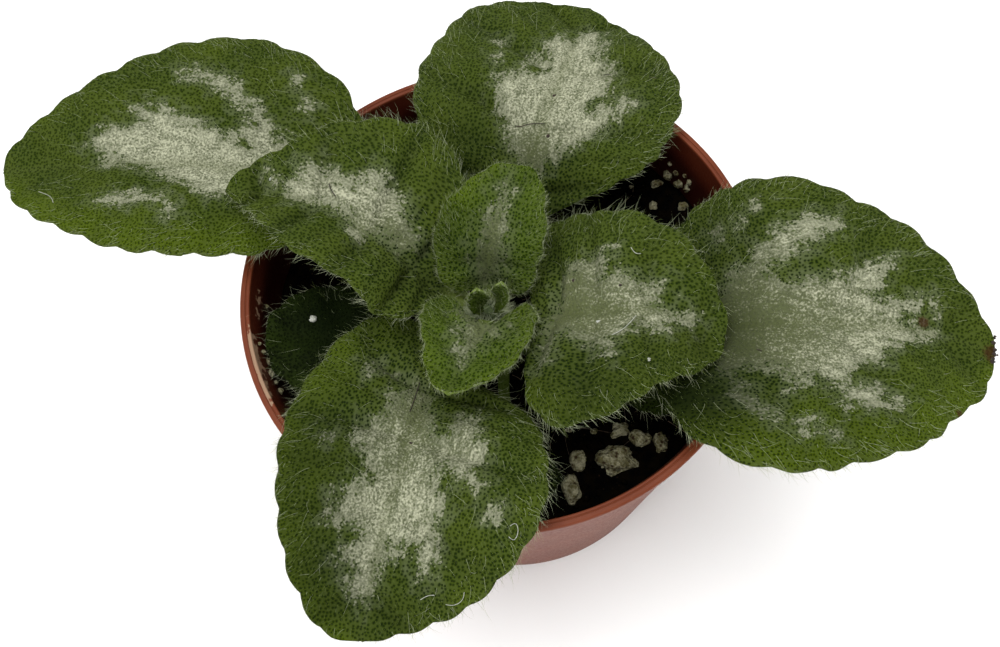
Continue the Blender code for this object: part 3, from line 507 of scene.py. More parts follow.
# Silver marks: outlines as (distance along the spine, distance out), left half negative
SILVER = {
    "leaf_left": [
        [(55, 3), (52, 5), (51, 4.5), (49.5, 5), (49, 6.5), (50, 7.5), (48, 7.5), (46, 7.5), (44, 6),
         (42, 6), (37.5, 4), (34.5, 3), (36.5, 5), (35.5, 6), (34, 6), (36, 8), (41.5, 11.5), (43.5, 11.5),
         (44.5, 12.5), (42.5, 13), (40.5, 12), (38.5, 12.5), (36, 9.5), (34.5, 9), (30.5, 4), (28.5, 2.5),
         (30, -1.5), (33, -4.5), (38.5, -5), (48, -0.5), (52.5, -0.5), (54, 0.5), (52, 1), (56, 2.5)],
        [(52.3, -6.7), (51.1, -5.9), (48.1, -5.2), (45.3, -6), (43.1, -5.7), (43.2, -6.3), (47.7, -6.9)],
        [(43.3, -7), (42, -7), (41.8, -8.6), (42.4, -9.1)],
        [(31.2, 13.7), (30.5, 13.3), (30.7, 12.4)],
        [(29.3, 10.4), (28.6, 9.4), (28.9, 8.8)],
    ],
    "leaf_mid_left": [
        [(27.5, 2), (25.5, 2.5), (26, 4), (24.5, 5), (23.5, 4.5), (22, 5), (21, 4), (19, 5), (19, 6),
         (18.5, 7), (17, 6.5), (14, 5.5), (11.5, 3), (10, 2), (9.5, 0.5), (13.5, 0.5), (15, 0),
         (15.5, -1.5), (16.5, -1.5), (18, 0.5), (20, 1), (22, 1), (25.5, -0.5)],
        [(30.5, 2.9), (29.1, 2.5), (27.4, 1.4), (28.2, 1.3)],
    ],
    "leaf_back": [
        [(27.5, -7.5), (29, -7), (29, -6), (30.5, -5), (30.5, -3), (32.5, -2), (32.5, -4), (34, -5),
         (34.5, -4), (34, -2.5), (37, -3.5), (39, -2.5), (39.5, -1), (39, 0), (41, 0), (42.5, 1.5),
         (41.5, 3), (38.5, 4), (36, 4), (35.5, 6), (34.5, 6.5), (33, 5.5), (32, 7), (30, 6.5), (27, 5),
         (26.5, 6), (28, 6.5), (27.5, 8.5), (30, 9.5), (29, 11), (21.5, 6), (17.5, 1.5), (18, -1.5),
         (20.5, -3.5), (24.5, -6)],
        [(35.1, -10), (35.8, -8.9), (34.6, -9.1)],
        [(31.7, -9.2), (31.7, -8.2), (31, -8.7)],
    ],
    "leaf_right": [
        [(25.5, -4.5), (27, -6.5), (29, -7.5), (32.5, -11.5), (36, -13), (37, -12.5), (39, -13),
         (38.5, -11.5), (36.5, -11), (36, -10), (31, -6.5), (32, -5), (33.5, -4.5), (38.5, -6), (40, -5.5),
         (41, -7.5), (44.5, -8.5), (46, -8), (44.5, -7), (44, -5), (43, -4), (44, -3), (48.5, -3.5),
         (49, -2), (46.5, -1.5), (47.5, -0.5), (51, 0), (44, 3), (42.5, 5), (40.5, 5.5), (39, 6.5),
         (38.5, 7.5), (39.5, 8.5), (42, 8.5), (42.5, 9.5), (42, 10.5), (44.5, 10.5), (44, 11.5), (39.5, 11),
         (38, 12.5), (37.5, 11), (38.5, 9.5), (34.5, 7.5), (33.5, 9), (32, 9), (30.5, 6.5), (29, 6),
         (28, 6), (27, 6), (26, 6.5), (28.5, 12.5), (26.5, 10.5), (24.5, 5), (23.5, 2), (24, -2)],
        [(31.9, 13.4), (33, 13.5), (32.3, 14.8)],
        [(49.6, -4.2), (50.6, -3), (49.9, -2.6)],
        [(24.2, -11.3), (25.3, -12.3), (25.6, -11.5), (24.6, -10.5)],
        [(27.2, -12.7), (28.2, -13.1), (27.8, -12.2)],
        [(30.1, -15), (30.9, -15.3), (30.4, -14.7)],
        [(29.2, 11.1), (29.6, 11.4), (29.2, 12.4)],
        [(35.1, 14.6), (36.7, 14.7), (36.4, 15.2)],
    ],
    "leaf_mid_right": [
        [(7, 0), (7, -2), (6.5, -3.5), (7, -5), (9.5, -6), (11, -6.5), (14, -7), (13, -5.5), (12.5, -4.5),
         (13, -4), (14.5, -4), (16, -3.5), (19, -3.5), (19.5, -2.5), (18.5, -1.5), (19.5, -0.5),
         (22, 0.5), (23.5, -1), (24, 0), (23.5, 1), (21.5, 1), (21, 2.5), (19, 2.5), (17.5, 2), (16, 3),
         (14, 4.5), (14.5, 6), (14, 6.5), (13, 5), (12.5, 5.5), (11.5, 4.5), (9, 2.5), (8, 3), (8, 5),
         (8, 7), (7.5, 7.5), (7, 5.5), (6, 3), (6, 1)],
    ],
    "leaf_front": [
        [(9.5, 2), (10, 0.5), (13, -1), (16.5, -3.5), (15.5, -4.5), (13.5, -4.5), (12.5, -6.5), (18, -9.5),
         (19, -8.5), (20.5, -8.5), (21.5, -10.5), (22, -9.5), (21.5, -7.5), (19.5, -5), (20, -4.5),
         (23.5, -5.5), (24.5, -6.5), (27, -5.5), (28.5, -6.5), (31.5, -6.5), (32.5, -5.5), (29, -4.5),
         (29.5, -1), (30.5, -2.5), (31.5, -1.5), (31.5, -0.5), (33, -1), (36.5, 0.5), (34.5, 3), (33.5, 2),
         (32.5, 3), (32, 4.5), (30.5, 3.5), (30, 2), (29.5, 2), (28.5, 3.5), (28.5, 6), (25.5, 6), (23, 3),
         (22, 3), (20, 5), (19.5, 6.5), (18.5, 6.5), (17, 6), (16, 4.5), (13.5, 3.5), (12.5, 4.5), (12, 3)],
        [(10.1, 8.5), (10, 7.6), (10.8, 6.7), (10.9, 7.3)],
        [(9.7, 6.9), (9.1, 4.2), (9.6, 4), (10.1, 6.1)],
        [(19.6, 9.6), (19.4, 8.3), (20, 8.5), (20.1, 9.1)],
        [(23.6, -11.4), (23.3, -12), (24.7, -12.1), (24.4, -11.5)],
    ],
    "leaf_top_back": [
        [(14, -1), (14.5, -0.5), (13.5, 0.5), (12, 0.5), (9.5, 1.5), (7, 1.5), (4, 1.5), (2.5, -0.5),
         (4.5, -1.5), (6, -2), (7.5, -1), (8.5, -1.5), (10, -1), (12.5, 0)],
    ],
    "leaf_top_front": [
        [(3, 3), (3.5, 2), (4, 0.5), (4, -2), (5.5, -2), (6, 0), (8, 0), (9, 0.5), (10.5, 0.5), (9.5, 1.5),
         (8, 1.5), (7, 2.5), (6.5, 2), (5, 2)],
    ],
}


def lattice(x, y, seed):
    """A fixed random number from 0 to 1 for each whole-number place."""
    value = np.sin(x * 127.1 + y * 311.7 + seed * 74.7) * 43758.5453
    return value - np.floor(value)


def soft_noise(x, y, size, seed):
    """Smooth noise from -1 to 1, with waves about as long as "size"."""
    left = np.floor(x / size)
    low = np.floor(y / size)
    u = x / size - left
    v = y / size - low
    u = u * u * (3.0 - 2.0 * u)
    v = v * v * (3.0 - 2.0 * v)
    lower = lattice(left, low, seed) * (1.0 - u) + lattice(left + 1.0, low, seed) * u
    upper = lattice(left, low + 1.0, seed) * (1.0 - u) + lattice(left + 1.0, low + 1.0, seed) * u
    return 2.0 * (lower * (1.0 - v) + upper * v) - 1.0


def cell_noise(x, y, size, seed):
    """Distances, in cells, to the nearest and second nearest of points scattered one to a cell."""
    x = x / size
    y = y / size
    first = np.full(x.shape, np.inf)
    second = first.copy()
    for step_x in (-1.0, 0.0, 1.0):
        for step_y in (-1.0, 0.0, 1.0):
            cell_x = np.floor(x) + step_x
            cell_y = np.floor(y) + step_y
            off_x = cell_x + lattice(cell_x, cell_y, seed) - x
            off_y = cell_y + lattice(cell_x, cell_y, seed + 1) - y
            away = np.hypot(off_x, off_y)
            second = np.minimum(second, np.maximum(first, away))
            first = np.minimum(first, away)
    return first, second


def unit(vectors):
    """The same directions, with length 1."""
    return vectors / np.maximum(np.linalg.norm(vectors, axis=-1, keepdims=True), 1e-9)


def bump(distance, width):
    """Falls smoothly from 1 at distance 0 to about a third at the given width."""
    return np.exp(-(distance / width) ** 2)


def fade(share, width):
    """Rises from 0 at share 0 to 1 at the given width."""
    return np.clip(share / width, 0.0, 1.0)


def smooth_curve(points, count):
    """Natural cubic curve through the points, sampled evenly in its parameter."""
    points = np.asarray(points, float)
    last = len(points) - 1
    knots = np.concatenate([[0.0], np.cumsum(np.sqrt(np.linalg.norm(np.diff(points, axis=0), axis=1)))])
    gaps = np.diff(knots)
    system = np.eye(last + 1)
    target = np.zeros_like(points)
    for i in range(1, last):
        system[i, i - 1:i + 2] = (gaps[i - 1], 2.0 * (gaps[i - 1] + gaps[i]), gaps[i])
        target[i] = 6.0 * ((points[i + 1] - points[i]) / gaps[i] - (points[i] - points[i - 1]) / gaps[i - 1])
    bend = np.linalg.solve(system, target)
    at = np.linspace(0.0, knots[-1], count)
    k = np.clip(np.searchsorted(knots, at, side="right") - 1, 0, last - 1)
    before = (knots[k + 1] - at)[:, None]
    after = (at - knots[k])[:, None]
    gap = gaps[k][:, None]
    curve = (bend[k] * before ** 3 + bend[k + 1] * after ** 3) / (6.0 * gap)
    curve += (points[k] / gap - bend[k] * gap / 6.0) * before
    curve += (points[k + 1] / gap - bend[k + 1] * gap / 6.0) * after
    return curve


def running_length(curve):
    """Length of a curve up to each of its points."""
    return np.concatenate([[0.0], np.cumsum(np.linalg.norm(np.diff(curve, axis=0), axis=1))])


def sample(curve, lengths, at):
    """A curve's values at distances along it."""
    return np.stack([np.interp(at, lengths, column) for column in curve.T], axis=-1)


class Spine:
    """The line from stalk to tip, with its forward, sideways and upward directions."""

    def __init__(self, points):
        self.curve = smooth_curve(points, SPINE_SAMPLES)
        self.lengths = running_length(self.curve)
        self.length = self.lengths[-1]
        self.forward = unit(np.gradient(self.curve, self.lengths, axis=0))
        up = np.array([0.0, 0.0, 1.0])
        self.normal = unit(up - (self.forward @ up)[:, None] * self.forward)
        self.side = np.cross(self.forward, self.normal)

    def frame(self, at, lowest):
        """Point, side and normal at a distance; below "lowest" the line runs straight on."""
        held = np.clip(at, lowest, self.length)
        point, forward, side, normal = (sample(track, self.lengths, held)
                                        for track in (self.curve, self.forward, self.side, self.normal))
        return point + forward * (at - held)[..., None], side, normal


def margin(leaf, half, length, along):
    """Margin of one half, with its rounded teeth, at fractions along from base to tip.

    Where the blade has a lobe that runs back past its base, the margin leaves the stalk
    a little below the base.
    """
    base = leaf["base"]
    lobe = max(base - leaf[half][0][0], 0.0)
    setback = min(LOBE_SETBACK * lobe, LONGEST_SETBACK * base)
    points = [(base - setback, leaf["stalk"][0]), *leaf[half], (length, 0.0)]
    curve = smooth_curve(points, MARGIN_SAMPLES)
    lengths = running_length(curve)
    heading = np.gradient(curve, lengths, axis=0)
    outward = unit(np.stack([-heading[:, 1], heading[:, 0]], axis=-1))
    depth = TOOTH_DEPTH * lengths[-1] / leaf["teeth"]
    tooth = depth * (np.abs(np.sin(math.pi * leaf["teeth"] * along)) - TOOTH_NOTCH)
    tooth *= fade(along, TEETH_START) ** 2 * fade(1.0 - along, TEETH_END)
    at = along * lengths[-1]
    return sample(curve, lengths, at) + sample(outward, lengths, at) * tooth[:, None]


def off_vein(blade, veins):
    """Distance along the blade, as a share of it, to the nearest of so many side veins."""
    return np.abs(blade * veins - np.round(blade * veins)) / veins


def blade_relief(leaf, ridges, span, blade, out, at, shares, seed):
    """Height of veins, net and pebbles on a blade's upper side."""
    veins = leaf["veins"] + 0.5
    laterals = bump(off_vein(blade, veins) * span, LATERAL_WIDTH) * fade(blade, LATERAL_START)
    height = -ridges * LATERAL_GROOVE * laterals * fade(shares, LATERAL_ROOT) * (1.0 - shares ** 3)
    minors = bump(off_vein(blade, 2.0 * veins) * span, MINOR_WIDTH) * fade(shares, MINOR_ROOT)
    height -= ridges * MINOR_GROOVE * minors * (1.0 - shares ** 4)
    height = height - MIDRIB_GROOVE * bump(out, MIDRIB_WIDTH) * (1.0 - blade) ** 0.5
    first, second = cell_noise(at, out, NET_SIZE, seed)
    height -= NET_GROOVE * bump(second - first, NET_WIDTH)
    first, second = cell_noise(at, out, PEBBLE_SIZE, seed + 2)
    height += PEBBLE_HEIGHT * (0.45 - first)
    height += PUCKER_HEIGHT * soft_noise(at, out, PUCKER_SIZE, seed + 4)
    height += WAVE_HEIGHT * soft_noise(at, out, WAVE_SIZE, seed + 5) * shares
    return height * leaf["quilt"] / FULL_QUILT * fade(blade, RELIEF_START) * fade(1.0 - blade, RELIEF_END)


def blade_thickness(leaf, blade, out, shares):
    """Thickness with the rib below, and how far the edge is rounded off on either face."""
    rib_half = leaf["stalk"][0] * (1.0 - RIB_TAPER * blade)
    rib_depth = leaf["stalk"][1] * RIB_DEPTH * (1.0 - blade)
    rib = rib_depth * np.sqrt(np.clip(1.0 - (out / rib_half) ** 2, 0.0, 1.0))
    thickness = MARGIN_THICKNESS + (leaf["thick"] - MARGIN_THICKNESS) * (1.0 - shares ** 4) + rib
    thickness = thickness * (1.0 - EDGE_THINNING * shares ** 3 * fade(blade, THINNING_START))
    bend = np.clip((shares - EDGE_SHARES[0]) / (1.0 - EDGE_SHARES[0]), 0.0, 1.0)
    return thickness, EDGE_ROUND * thickness * (1.0 - np.sqrt(1.0 - bend ** 2))


def half_leaf(leaf, ridges, half, along, shares, seed):
    """One half's rows from the midrib out: top, bottom, and each point's place on the leaf."""
    spine = Spine(leaf["spine"])
    index = ("left", "right").index(half)
    sign = 2.0 * index - 1.0
    base = leaf["base"]
    span = spine.length - base
    fold = math.radians(leaf["fold"][index])
    widest = max(point[1] for point in leaf[half])
    in_blade = along >= 0.0
    blade = np.clip(along, 0.0, 1.0)
    middle = np.where(in_blade, base + span * blade ** ROW_LEAD, base * (1.0 + along))
    edge = margin(leaf, half, spine.length, blade)
    edge[~in_blade] = np.stack([middle, np.full(len(along), leaf["stalk"][0])], axis=-1)[~in_blade]
    blade = blade[:, None]
    out = np.maximum(edge[:, 1], TIP_HALF_WIDTH)[:, None] * shares
    lead = (edge[:, 0] - middle)[:, None]
    at = middle[:, None] + lead * np.where(lead < 0.0, shares ** LOBE_CURVE, shares)
    swell = leaf["quilt"] * np.abs(np.sin(math.pi * (leaf["veins"] + 0.5) * blade))
    swell = swell * fade(blade, QUILT_START) * fade(1.0 - blade, QUILT_END)
    raised = math.sin(fold) * (np.hypot(out, CREASE) - CREASE) - leaf["droop"][index] * (out / widest) ** 3
    raised += swell * np.sin(math.pi * shares)
    relief = blade_relief(leaf, ridges, span, blade, out * sign, at, shares, seed)
    thickness, rounding = blade_thickness(leaf, blade, out, shares)
    point, side, normal = spine.frame(at, np.where(in_blade, base, 0.0)[:, None])
    top = point + side * (sign * math.cos(fold) * out)[..., None]
    top = top + normal * (raised + relief - rounding)[..., None]
    bottom = top - normal * ((thickness - 2.0 * rounding) / math.cos(fold) - UNDER_RELIEF * relief)[..., None]
    stalk = fade(-along * base, STALK_FADE)[:, None]
    return {"top": top, "bottom": bottom, "at": at, "out": out * sign, "blade": blade + 0.0 * out,
            "share": shares + 0.0 * out, "stalk": stalk + 0.0 * out}


def leaf_grid(leaf, ridges, seed):
    """A whole leaf as rows of points from stalk root to tip and from left margin to right."""
    length = Spine(leaf["spine"]).length
    stalk_rows = max(3, round(leaf["base"] / STALK_PITCH))
    blade_rows = round((length - leaf["base"]) / PITCH)
    along = np.concatenate([np.linspace(-1.0, 0.0, stalk_rows, endpoint=False),
                            np.linspace(0.0, 1.0, blade_rows, endpoint=False), [LAST_ROW]])
    widest = max(point[1] for half in ("left", "right") for point in leaf[half])
    columns = max(4, round(widest / PITCH))
    shares = np.concatenate([np.linspace(0.0, EDGE_SHARES[0], columns, endpoint=False), EDGE_SHARES])
    left, right = (half_leaf(leaf, ridges, half, along, shares, seed) for half in ("left", "right"))
    return {key: np.concatenate([left[key][:, :0:-1], right[key]], axis=1) for key in left}


def inside_reach(x, y, outline):
    """Distance to an outline's edge, positive inside it and negative outside."""
    corners = np.array(outline)
    nearest = np.full(x.shape, np.inf)
    inside = np.zeros(x.shape, bool)
    for (x0, y0), (x1, y1) in zip(corners, np.roll(corners, -1, axis=0)):
        run_x = x1 - x0
        run_y = y1 - y0
        share = np.clip(((x - x0) * run_x + (y - y0) * run_y) / (run_x ** 2 + run_y ** 2), 0.0, 1.0)
        nearest = np.minimum(nearest, np.hypot(x - x0 - share * run_x, y - y0 - share * run_y))
        if run_y != 0.0:
            crosses = (y0 > y) != (y1 > y)
            inside ^= crosses & (x < x0 + run_x * (y - y0) / run_y)
    return np.where(inside, nearest, -nearest)


def silver_reach(name, at, out):
    """Distance to the nearest edge of the leaf's silver marks, positive inside them."""
    reach = np.full(at.shape, SILVER_FAR)
    for outline in SILVER.get(name, []):
        reach = np.maximum(reach, inside_reach(at, out, outline))
    return reach


def spot_share(spots, at, out):
    """How much of the spots' tone each point takes on, 0 to 1."""
    clear = np.ones(at.shape)
    for spot_at, spot_out, radius, strength in spots:
        clear *= 1.0 - strength * bump(np.hypot(at - spot_at, out - spot_out), radius)
    return 1.0 - clear


def leaf_tones(name, leaf, grid, number):
    """What the leaf's material reads at each point of the upper face and then of the lower one."""
    at, out, blade, share, stalk = (np.stack([grid[key], grid[key]])
                                    for key in ("at", "out", "blade", "share", "stalk"))
    under = np.zeros(at.shape)
    under[1] = 1.0
    rib = bump(np.abs(out) / (leaf["stalk"][0] * (1.1 - RIB_TONE_TAPER * blade)), 1.0)
    veins = leaf["veins"] + 0.5
    major = bump(off_vein(blade, veins), VEIN_SHADE_WIDTH)
    minor = MINOR_SHADE * bump(off_vein(blade, 2.0 * veins), MINOR_SHADE_WIDTH) * fade(share, MINOR_ROOT)
    groove_shade = np.maximum(major, minor) * min(RIDGES.get(name, OTHER_RIDGES), 1.0)
    warmth = np.where(out < 0.0, *MARGIN_GLOW_PAINT.get(name, OTHER_MARGIN_GLOW)) * share ** 2
    warmth = warmth * fade(blade, GLOW_START)
    start, full, strength = SILVER_FADE.get(name, OTHER_FADE)
    fresh = strength * fade(at + np.abs(out) - start, full - start)
    return {
        "leaf_place": (at, out, TEXTURE_STEP * number),
        "leaf_marks_and_edge_light": (silver_reach(name, at, out), share * fade(blade, EDGE_LIGHT_START), rib),
        "leaf_part": (stalk, under, groove_shade),
        "leaf_tone": (fresh, warmth, spot_share(BLEMISHES.get(name, []), at, out)),
        "leaf_painted_shade": (spot_share(PAINTED_SHADE_PLACES.get(name, []), at, out),),
    }


def mesh_from_arrays(name, points, faces):
    """A smooth mesh of points in millimetres."""
    mesh = bpy.data.meshes.new(name)
    mesh.from_pydata((np.asarray(points) * MM).tolist(), [], faces)
    mesh.validate()
    mesh.shade_smooth()
    return mesh


def mesh_from_bmesh(name, bm):
    """A mesh from one under construction, which is then freed."""
    mesh = bpy.data.meshes.new(name)
    bm.to_mesh(mesh)
    bm.free()
    return mesh


def add_values(mesh, name, *values):
    """An attribute of up to three values at each point; those that are left out are zero."""
    packed = np.zeros((len(mesh.vertices), 3), np.float32)
    for column, value in enumerate(values):
        packed[:, column] = np.ravel(value)
    layer = mesh.attributes.new(name, "FLOAT_VECTOR", "POINT")
    layer.data.foreach_set("vector", packed.ravel())


def add_object(name, data):
    made = bpy.data.objects.new(name, data)
    bpy.context.scene.collection.objects.link(made)
    return made


def add_piece(name, mesh, material, slot, *replaced):
    """A piece of the object, riding on its one body and standing for the named solids."""
    mesh.materials.append(material)
    piece = add_object(name, mesh)
    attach(piece, "root")
    if replaced:
        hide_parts(*replaced)
    return piece


def quads_between(first, second):
    """Quads between two equally long runs of point numbers."""
    return np.stack([first[:-1], second[:-1], second[1:], first[1:]], axis=-1).reshape(-1, 4)


def grid_quads(number):
    """Quads over a grid of point numbers."""
    corners = [number[:-1, :-1], number[:-1, 1:], number[1:, 1:], number[1:, :-1]]
    return np.stack(corners, axis=-1).reshape(-1, 4)


def shell_faces(rows, columns):
    """Faces of a closed body whose top and bottom are grids of the same size."""
    number = np.arange(rows * columns).reshape(rows, columns)
    under = number + rows * columns
    bottom = grid_quads(under)[:, [0, 3, 2, 1]]
    left = quads_between(under[:, 0], number[:, 0])[:, ::-1]
    right = quads_between(number[:, -1], under[:, -1])[:, ::-1]
    root = quads_between(number[0], under[0])
    tip = quads_between(under[-1], number[-1])
    return np.concatenate([grid_quads(number), bottom, left, right, root, tip]).tolist()


def make_leaf(name, number):
    """A leaf and its hairs; gives back its grid of points."""
    leaf = LEAVES[name]
    grid = leaf_grid(leaf, RIDGES.get(name, OTHER_RIDGES), 10 * number)
    for face in ("top", "bottom"):
        grid[face] = grid[face] + np.array([0.0, 0.0, RIM_HEIGHT])
    points = np.concatenate([grid["top"].reshape(-1, 3), grid["bottom"].reshape(-1, 3)])
    mesh = mesh_from_arrays(name, points, shell_faces(*grid["at"].shape))
    for key, values in leaf_tones(name, leaf, grid, number).items():
        add_values(mesh, key, *values)
    slot = LEAF_SLOTS.get(name, "leaf_mature")
    add_piece(name + "_blade", mesh, MATERIALS[slot], slot, name)
    make_leaf_hairs(name, leaf, grid, slot, np.random.default_rng(HAIR_SEED + number))
    return grid


def spikes(roots, heads, bends, lengths, radii, rings):
    """Thin tapering hairs, closed at the root: points, faces and how far along each point is."""
    count = len(roots)
    start = unit(np.cross(heads, np.array([0.31, 0.17, 0.94])))
    other = unit(np.cross(heads, start))
    points = []
    for k in range(rings):
        share = k / rings
        middle = roots + heads * (lengths * share)[:, None] + bends * (lengths * share ** 2)[:, None]
        radius = (radii * (1.0 - HAIR_TAPER * share))[:, None]
        for side in range(HAIR_SIDES):
            turn = 2.0 * math.pi * side / HAIR_SIDES
            points.append(middle + start * (radius * math.cos(turn)) + other * (radius * math.sin(turn)))
    points.append(roots + heads * lengths[:, None] + bends * lengths[:, None])
    points = np.stack(points, axis=1)
    per_hair = points.shape[1]
    faces = [(2, 1, 0)]
    for k in range(rings - 1):
        for side in range(HAIR_SIDES):
            a = k * HAIR_SIDES + side
            b = k * HAIR_SIDES + (side + 1) % HAIR_SIDES
            faces.append((a, b, b + HAIR_SIDES))
            faces.append((a, b + HAIR_SIDES, a + HAIR_SIDES))
    last = (rings - 1) * HAIR_SIDES
    for side in range(HAIR_SIDES):
        faces.append((last + side, last + (side + 1) % HAIR_SIDES, last + HAIR_SIDES))
    faces = (np.array(faces)[None] + (np.arange(count) * per_hair)[:, None, None]).reshape(-1, 3)
    shares = np.concatenate([np.repeat(np.arange(rings) / rings, HAIR_SIDES), [1.0]])
    return points.reshape(-1, 3), faces, np.tile(shares, count)


def within_box(roots, ways, lengths):
    """Shorter lengths for hairs that would stand too far outside the solids' box."""
    least = 0.05
    for corner, facing in zip(CAD_BOX, (-1.0, 1.0)):
        for axis in range(3):
            limit = corner[axis] / MM + facing * BOX_SPARE[axis]
            room = np.maximum(facing * (limit - roots[:, axis]), least)
            lead = facing * ways[:, axis]
            held = np.minimum(lengths, room / np.maximum(lead, least))
            lengths = np.where(lead > least, held, lengths)
    return lengths


def drawn(value, count, rng):
    """A number for each hair: one and the same, or drawn between the two that are given."""
    return rng.uniform(*value, count) if isinstance(value, tuple) else np.full(count, value)


def along_ways(shares, ways):
    """A direction made of so much of each of three ways."""
    return sum(share * way for share, way in zip(shares, ways))


def strands(kind, roots, ways, rng, scale=1.0, paler=0.0, lean=None):
    """Hairs of one kind on their roots, given which ways are outward, forward and up there."""
    hair = HAIRS[kind]
    count = len(roots)
    if lean is None:
        lean = along_ways(hair["lean"], ways)
    heads = unit(lean + rng.normal(0.0, hair["stray"], (count, 3)))
    bends = unit(along_ways(hair["bend"], ways) + rng.normal(0.0, hair["wander"], (count, 3)))
    bends *= drawn(hair["curl"], count, rng)[:, None]
    lengths = drawn(hair["reach"], count, rng) * scale
    radii = drawn(hair["radius"], count, rng)
    roots = roots - heads * hair.get("sunk", 0.0)
    lengths = within_box(roots, heads + bends, lengths)
    points, faces, along = spikes(roots, heads, bends, lengths, radii, hair["rings"])
    return points, faces, along, np.full(len(along), hair["pale"] + paler)


def add_hairs(name, batches, material, slot):
    """One piece made of several batches of hairs."""
    points, faces, along, pale = zip(*batches)
    starts = np.cumsum([0] + [len(some) for some in points[:-1]])
    faces = np.concatenate([some + start for some, start in zip(faces, starts)])
    mesh = mesh_from_arrays(name, np.concatenate(points), faces.tolist())
    add_values(mesh, "hair_tone", np.concatenate(along), np.concatenate(pale))
    add_piece(name, mesh, material, slot)


def cell_areas(surface):
    """Areas of the cells of a grid of points."""
    right = surface[:-1, 1:] - surface[:-1, :-1]
    ahead = surface[1:, :-1] - surface[:-1, :-1]
    return np.linalg.norm(np.cross(right, ahead), axis=-1)


def between_corners(layer, row, column, u, v):
    """A layer's values inside its cells, at shares along and across each of them."""
    if layer.ndim == 3:
        u = u[:, None]
        v = v[:, None]
    near = layer[row, column] * (1.0 - v) + layer[row, column + 1] * v
    far = layer[row + 1, column] * (1.0 - v) + layer[row + 1, column + 1] * v
    return near * (1.0 - u) + far * u


def planted(layers, weight, count, rng):
    """Every layer's values at spots spread by area and weight over the first, a grid of points."""
    area = cell_areas(layers[0]) * weight[:-1, :-1]
    picked = rng.choice(area.size, count, p=(area / area.sum()).ravel())
    spots = (*np.unravel_index(picked, area.shape), rng.random(count), rng.random(count))
    return [between_corners(layer, *spots) for layer in layers]


def make_leaf_hairs(name, leaf, grid, slot, rng):
    """Hairs over both faces, longer ones above, a fringe round the margin and a furry stalk."""
    top = grid["top"]
    bottom = grid["bottom"]
    shares = grid["share"]
    across = np.gradient(top, axis=1)
    ahead = np.gradient(top, axis=0)
    outward = unit(across) * np.sign(grid["out"] + 1e-6)[..., None]
    ways = (outward, unit(ahead), unit(np.cross(across, ahead)))
    on_blade = (grid["blade"] > 0.0).astype(float)
    area = cell_areas(top).sum()
    small = YOUNG_HAIR_SIZE if slot == "leaf_young" else 1.0
    shortest, crowding = BUD_HAIRS if name.startswith("leaf_bud") else PLAIN_HAIRS
    short_count = int(area * (UPPER_HAIRS * SHORT_CROWDING.get(slot, 1.0)) / small)
    long_count = int(area * LONG_HAIRS * crowding)
    under_count = int(cell_areas(bottom).sum() * UNDER_HAIRS)
    stalk_count = int(leaf["base"] * leaf["stalk"][0] * 2.0 * STALK_HAIRS)
    batches = [short_hairs((top, *ways, shares), on_blade, short_count, small, shortest, rng),
               grown("long", (top, *ways), on_blade * (0.06 + shares ** 5), long_count, rng, small),
               grown("under", (bottom, *ways), on_blade, under_count, rng)]
    for column in (0, -1):
        edge = (top + bottom)[:, column] / 2.0
        batches.append(fringe(edge, [way[:, column] for way in ways], grid["blade"][:, 0], small, rng))
    on_stalk = grid["stalk"] * (grid["blade"] <= 0.0) + 1e-9
    for surface, facing in ((top, 1.0), (bottom, -1.0)):
        skin = (surface, *ways[:2], facing * ways[2])
        batches.append(grown("stalk", skin, on_stalk, stalk_count, rng))
    add_hairs(name + "_hairs", batches, MATERIALS["hair"], slot)


def grown(kind, skin, weight, count, rng, scale=1.0):
    """Hairs of one kind spread over a skin, which is its points and its three ways."""
    roots, *ways = planted(skin, weight, count, rng)
    return strands(kind, roots, ways, rng, scale)


def short_hairs(layers, on_blade, count, small, shortest, rng):
    """Short hairs, longer and leaning further outward towards the margin."""
    roots, *ways, share = planted(layers, on_blade * (0.5 + layers[-1] ** 2), count, rng)
    out = share[:, None]
    lean = along_ways((0.3 + 1.1 * out ** 2, 0.45, 0.7 - 0.3 * out), ways)
    return strands("short", roots, ways, rng, scale=shortest + small * share ** 4,
                   paler=0.2 * (1.0 - small), lean=lean)


def fringe(edge, ways, blade, small, rng):
    """Hairs along one margin."""
    run = running_length(edge)
    first = np.argmax(blade > 0.01)
    count = int((run[-1] - run[first]) * MARGIN_HAIRS / small ** 1.5)
    at = np.interp(rng.uniform(run[first], run[-1], count), run, np.arange(len(run)))
    row = np.minimum(at.astype(int), len(run) - 2)
    share = (at - row)[:, None]
    roots = edge[row] * (1.0 - share) + edge[row + 1] * share
    return strands("fringe", roots, [way[row] for way in ways], rng, scale=0.2 + 0.8 * small,
                   paler=0.3 * small)


